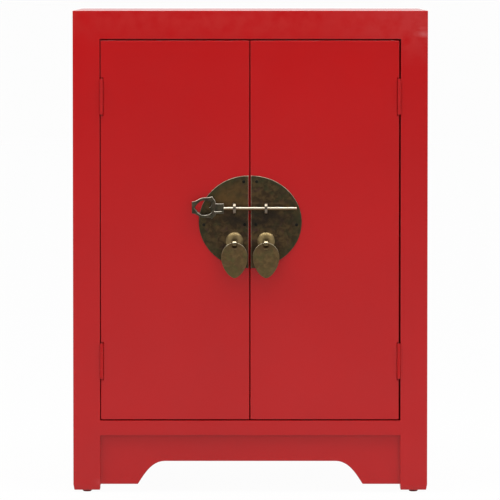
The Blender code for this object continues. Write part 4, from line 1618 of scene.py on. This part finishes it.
@dataclass
class Bolt:
    """The sliding bolt: a round rod forged to a flat shank and a finger loop."""

    y: float = BOLT_Y
    z: float = LOCK_HEIGHT + 0.0160
    tip: float = 0.0552
    rod_length: float = 0.0863
    rod_radius: float = 0.002
    rod_ease: float = 0.0007
    rod_root: float = 0.0008
    thickness: float = 0.0032
    shank_length: float = 0.0095
    shank_half: float = 0.0061
    head_length: float = 0.0285
    end_half: float = 0.007
    bow_half: float = 0.0119
    flare_half: float = 0.0134
    flare_length: float = 0.0043
    flare_dip: float = 0.0036
    head_rise: float = 0.0013
    swell_pull: float = 0.006
    bar: float = 0.0037
    hole_tip_pull: Point = (0.0020, 0.0034)
    hole_pull: float = 0.0057
    lobe: Point = (0.0226, 0.0050)
    lobe_pull: float = 0.0022
    tongue: float = 0.0200
    rim: float = 0.0013
    rim_steps: int = 4
    groove_box: tuple[float, float, float, float] = (0.0262, 0.0355, -0.0036, 0.0044)
    groove_depth: float = 0.00035

    def outline(self) -> Outline:
        """The head and the shank from the front.

        Returns:
            The outline, x running from the loop towards the rod.
        """
        end, bow, length = self.end_half, self.bow_half, self.head_length
        flare, middle = length - self.flare_length, length / 2
        neck = (self.flare_half + self.shank_half) / 2
        swell, dip = self.swell_pull, self.flare_dip
        upper = Outline().line((0, end))
        upper.curve((swell, end), (middle - swell, bow), (middle, bow))
        upper.curve((middle + dip, bow), (flare - dip, bow), (flare, self.flare_half))
        upper.curve((flare + self.flare_length / 3, neck), (length, neck), (length, self.shank_half))
        upper.line((length + self.shank_length, self.shank_half))
        whole = upper.joined(upper.mirrored(Mirror.TOP_TO_BOTTOM))
        return whole.raised(self.head_rise, length - TINY)

    def hole(self, grow: float = 0.0) -> Outline:
        """The finger hole, with a small tongue at the end towards the rod.

        Args:
            grow: How much wider the outline is all round.

        Returns:
            The outline.
        """
        bow = self.head_length / 2
        start, tongue = self.bar - grow, self.tongue + grow
        high = self.bow_half - self.bar + grow
        pull, rise = self.hole_tip_pull
        lobe, width = self.lobe[0] + grow, self.lobe[1]
        upper = Outline().line((start, 0))
        upper.curve((start + pull, rise), (bow - self.hole_pull, high), (bow, high))
        upper.curve((bow + self.hole_pull, high), (lobe, width + self.lobe_pull), (lobe, width))
        upper.curve((lobe, width - self.lobe_pull), (tongue + pull, rise / 4), (tongue, 0))
        return upper.joined(upper.mirrored(Mirror.TOP_TO_BOTTOM)).raised(self.head_rise)

    def groove(self) -> Outline:
        """The shallow groove in the front of the shank."""
        left, right, low, high = self.groove_box
        return Outline().line((left, low), (right, low), (right, high), (left, high))

    def build(self) -> None:
        """Makes the bolt."""
        start = self.tip - self.rod_length - self.shank_length - self.head_length
        head = Piece.slab(
            self.outline(),
            self.thickness,
            self.rim,
            steps=self.rim_steps,
            both=True,
            hole=self.hole(),
            sinks=((self.hole(self.rim), self.rim), (self.groove(), self.groove_depth)),
        )
        spot = (start, self.y + self.thickness / 2, self.z)
        head.settle("aged_bolt_head", FACING_FRONT, spot)
        head.polish(PLATE_SHARP_OVER).fit(HEAD_BRASS, Body.BOLT, Slot.AGED_BRASS, "bolt")
        half = (self.rod_length + self.rod_root) / 2
        spot = (self.tip - half, self.y, self.z)
        rod = Piece.rod("worn_bolt_rod", self.rod_radius, half, spot, ALONG_X, self.rod_ease)
        rod.polish().fit(ROD_BRASS, Body.BOLT, Slot.WORN_BRASS)


def set_up(name: str, data: bpy.types.ID, spot: Place, aim: Place) -> Object:
    """Sets up a camera or a lamp, turned to a point.

    Args:
        name: Its name.
        data: Its own settings.
        spot: Where it stands.
        aim: What it is turned to.

    Returns:
        The camera or the lamp.
    """
    piece = bpy.data.objects.new(name, data)
    bpy.context.scene.collection.objects.link(piece)
    piece.location = spot
    piece.rotation_euler = (Vector(aim) - Vector(spot)).to_track_quat("-Z", "Y").to_euler()
    return piece


@dataclass(frozen=True)
class Lamp:
    """A soft box, with its width and height, and its power in watts."""

    name: str
    spot: Place
    aim: Place
    size: Point
    power: float

    def hang(self) -> None:
        """Hangs the lamp, out of the camera's sight."""
        data = bpy.data.lights.new(self.name, "AREA")
        data.shape = "RECTANGLE"
        data.size, data.size_y = self.size
        data.energy = self.power
        set_up(self.name, data, self.spot, self.aim).visible_camera = False


@dataclass
class Studio:
    """The plain studio: a pale floor, soft light and the camera of the photograph."""

    camera_x: float = -0.0003
    camera_z: float = 0.618
    distance: float = 6.0
    front: float = FRONT_FACE
    aim_z: float = 0.28825
    frame_width: float = 0.5921
    sensor: float = 36.0
    floor_reach: float = 150.0
    floor_white: float = 0.97
    floor_grey: float = 0.69
    floor_roughness: float = 0.9
    backdrop: Place = (24.0, 12.0, 9.0)
    curtain: Place = (12.0, 8.5, 3.5)
    curtain_grey: float = 0.05
    curtain_hem: float = 0.01
    cloth: float = 0.05
    world: float = 0.71
    lamps: tuple[Lamp, ...] = (
        Lamp("overhead", (0.1, -0.65, 2.3), (0.1, -0.45, 0), (4.4, 0.8), 60),
        Lamp("left_front", (-2.8, -2.6, 1.7), (0, 0, 0.3), (3.2, 2.6), 15),
        Lamp("right_front", (2.8, -2.6, 1.7), (0, 0, 0.3), (3.2, 2.6), 17),
    )

    def place_camera(self) -> None:
        """Sets up the camera."""
        data = bpy.data.cameras.new("camera")
        spot = (self.camera_x, self.front - self.distance, self.camera_z)
        aim = (self.camera_x, self.front, self.aim_z)
        data.sensor_width = self.sensor
        data.lens = self.sensor * (Vector(aim) - Vector(spot)).length / self.frame_width
        data.clip_end = 4 * self.floor_reach
        bpy.context.scene.camera = set_up("camera", data, spot, aim)

    @staticmethod
    def matt(name: str, grey: float, roughness: float) -> NodeBoard:
        """Makes a matt grey.

        Args:
            name: The material's name.
            grey: How pale it is.
            roughness: How rough it is.

        Returns:
            The board that it is laid out on.
        """
        board = NodeBoard(name)
        skin = {"Roughness": roughness, "Specular IOR Level": 0.0}
        board.feed(board.shader, {"Base Color": (grey, grey, grey, 1.0), **skin})
        return board

    def white(self) -> Material:
        """Makes the white of the floor and the backdrop.

        Returns:
            The material, white to the camera and in reflections.
        """
        board = self.matt("studio_white", self.floor_grey, self.floor_roughness)
        glow = board.add("Emission", {"Strength": 1.0}).outputs["Emission"]
        path = board.add("LightPath").outputs
        seen = path["Is Camera Ray"]
        for kind in ("Is Glossy Ray", "Is Transmission Ray"):
            seen = board.add("Math", {0: seen, 1: path[kind]}, operation="MAXIMUM").outputs["Value"]
        share = board.times(seen, self.floor_white)
        mix = board.add("MixShader", {"Fac": share, 1: board.shader.outputs["BSDF"], 2: glow})
        board.feed(board.tree.nodes["Material Output"], {"Surface": mix.outputs["Shader"]})
        return board.material

    def lay_floor(self) -> None:
        """Lays the floor, with the object's shadow on it, and hangs the backdrop far behind the object."""
        let_go()
        bpy.ops.mesh.primitive_plane_add(size=2 * self.floor_reach, location=ORIGIN)
        floor = bpy.context.object
        floor.name = "floor"
        width, away, height = self.backdrop
        backdrop = Piece.block("backdrop", (-width / 2, away, 0.0), (width / 2, away + self.cloth, height))
        white = self.white()
        for piece in (floor, backdrop.thing):
            piece.data.materials.append(white)

    def hang_curtain(self) -> None:
        """Hangs a dark curtain behind the camera, so that the upper part of the front mirrors less white."""
        width, reach, height = self.curtain
        low = (-width / 2, -reach - self.cloth, self.curtain_hem)
        curtain = Piece.block("curtain", low, (width / 2, -reach, height)).thing
        curtain.data.materials.append(self.matt("curtain_grey", self.curtain_grey, 1.0).material)
        curtain.visible_camera = False

    def light(self) -> None:
        """Lights the scene with a grey room, and soft boxes above and at both sides."""
        world = bpy.data.worlds.new("studio")
        bpy.context.scene.world = world
        world.use_nodes = True
        room = world.node_tree.nodes["Background"].inputs
        room["Color"].default_value = (1.0, 1.0, 1.0, 1.0)
        room["Strength"].default_value = self.world
        for lamp in self.lamps:
            lamp.hang()

    def build(self) -> None:
        """Makes the whole studio."""
        bpy.context.scene.view_settings.view_transform = "Standard"
        self.place_camera()
        self.lay_floor()
        self.hang_curtain()
        self.light()


def main() -> None:
    """Builds the nightstand's looks and the studio."""
    logging.basicConfig(level=logging.INFO, format="%(message)s")
    Studio().build()
    hinges = [Hinge(side, level) for side in Side for level in Level]
    PaintedCase(hinges).build()
    for side in Side:
        Door(side, [hinge for hinge in hinges if hinge.side is side]).build()
        LockPlate(side).build()
        spot = (side.value * HARDWARE_X, BOLT_Y, STAPLE_Z)
        SplitPin(f"{side.word}_bolt_staple", Body.door(side), spot).build()
        Pull(side).build()
    for hinge in hinges:
        hinge.build()
    Bolt().build()
    let_go()


if __name__ == "__main__":
    main()
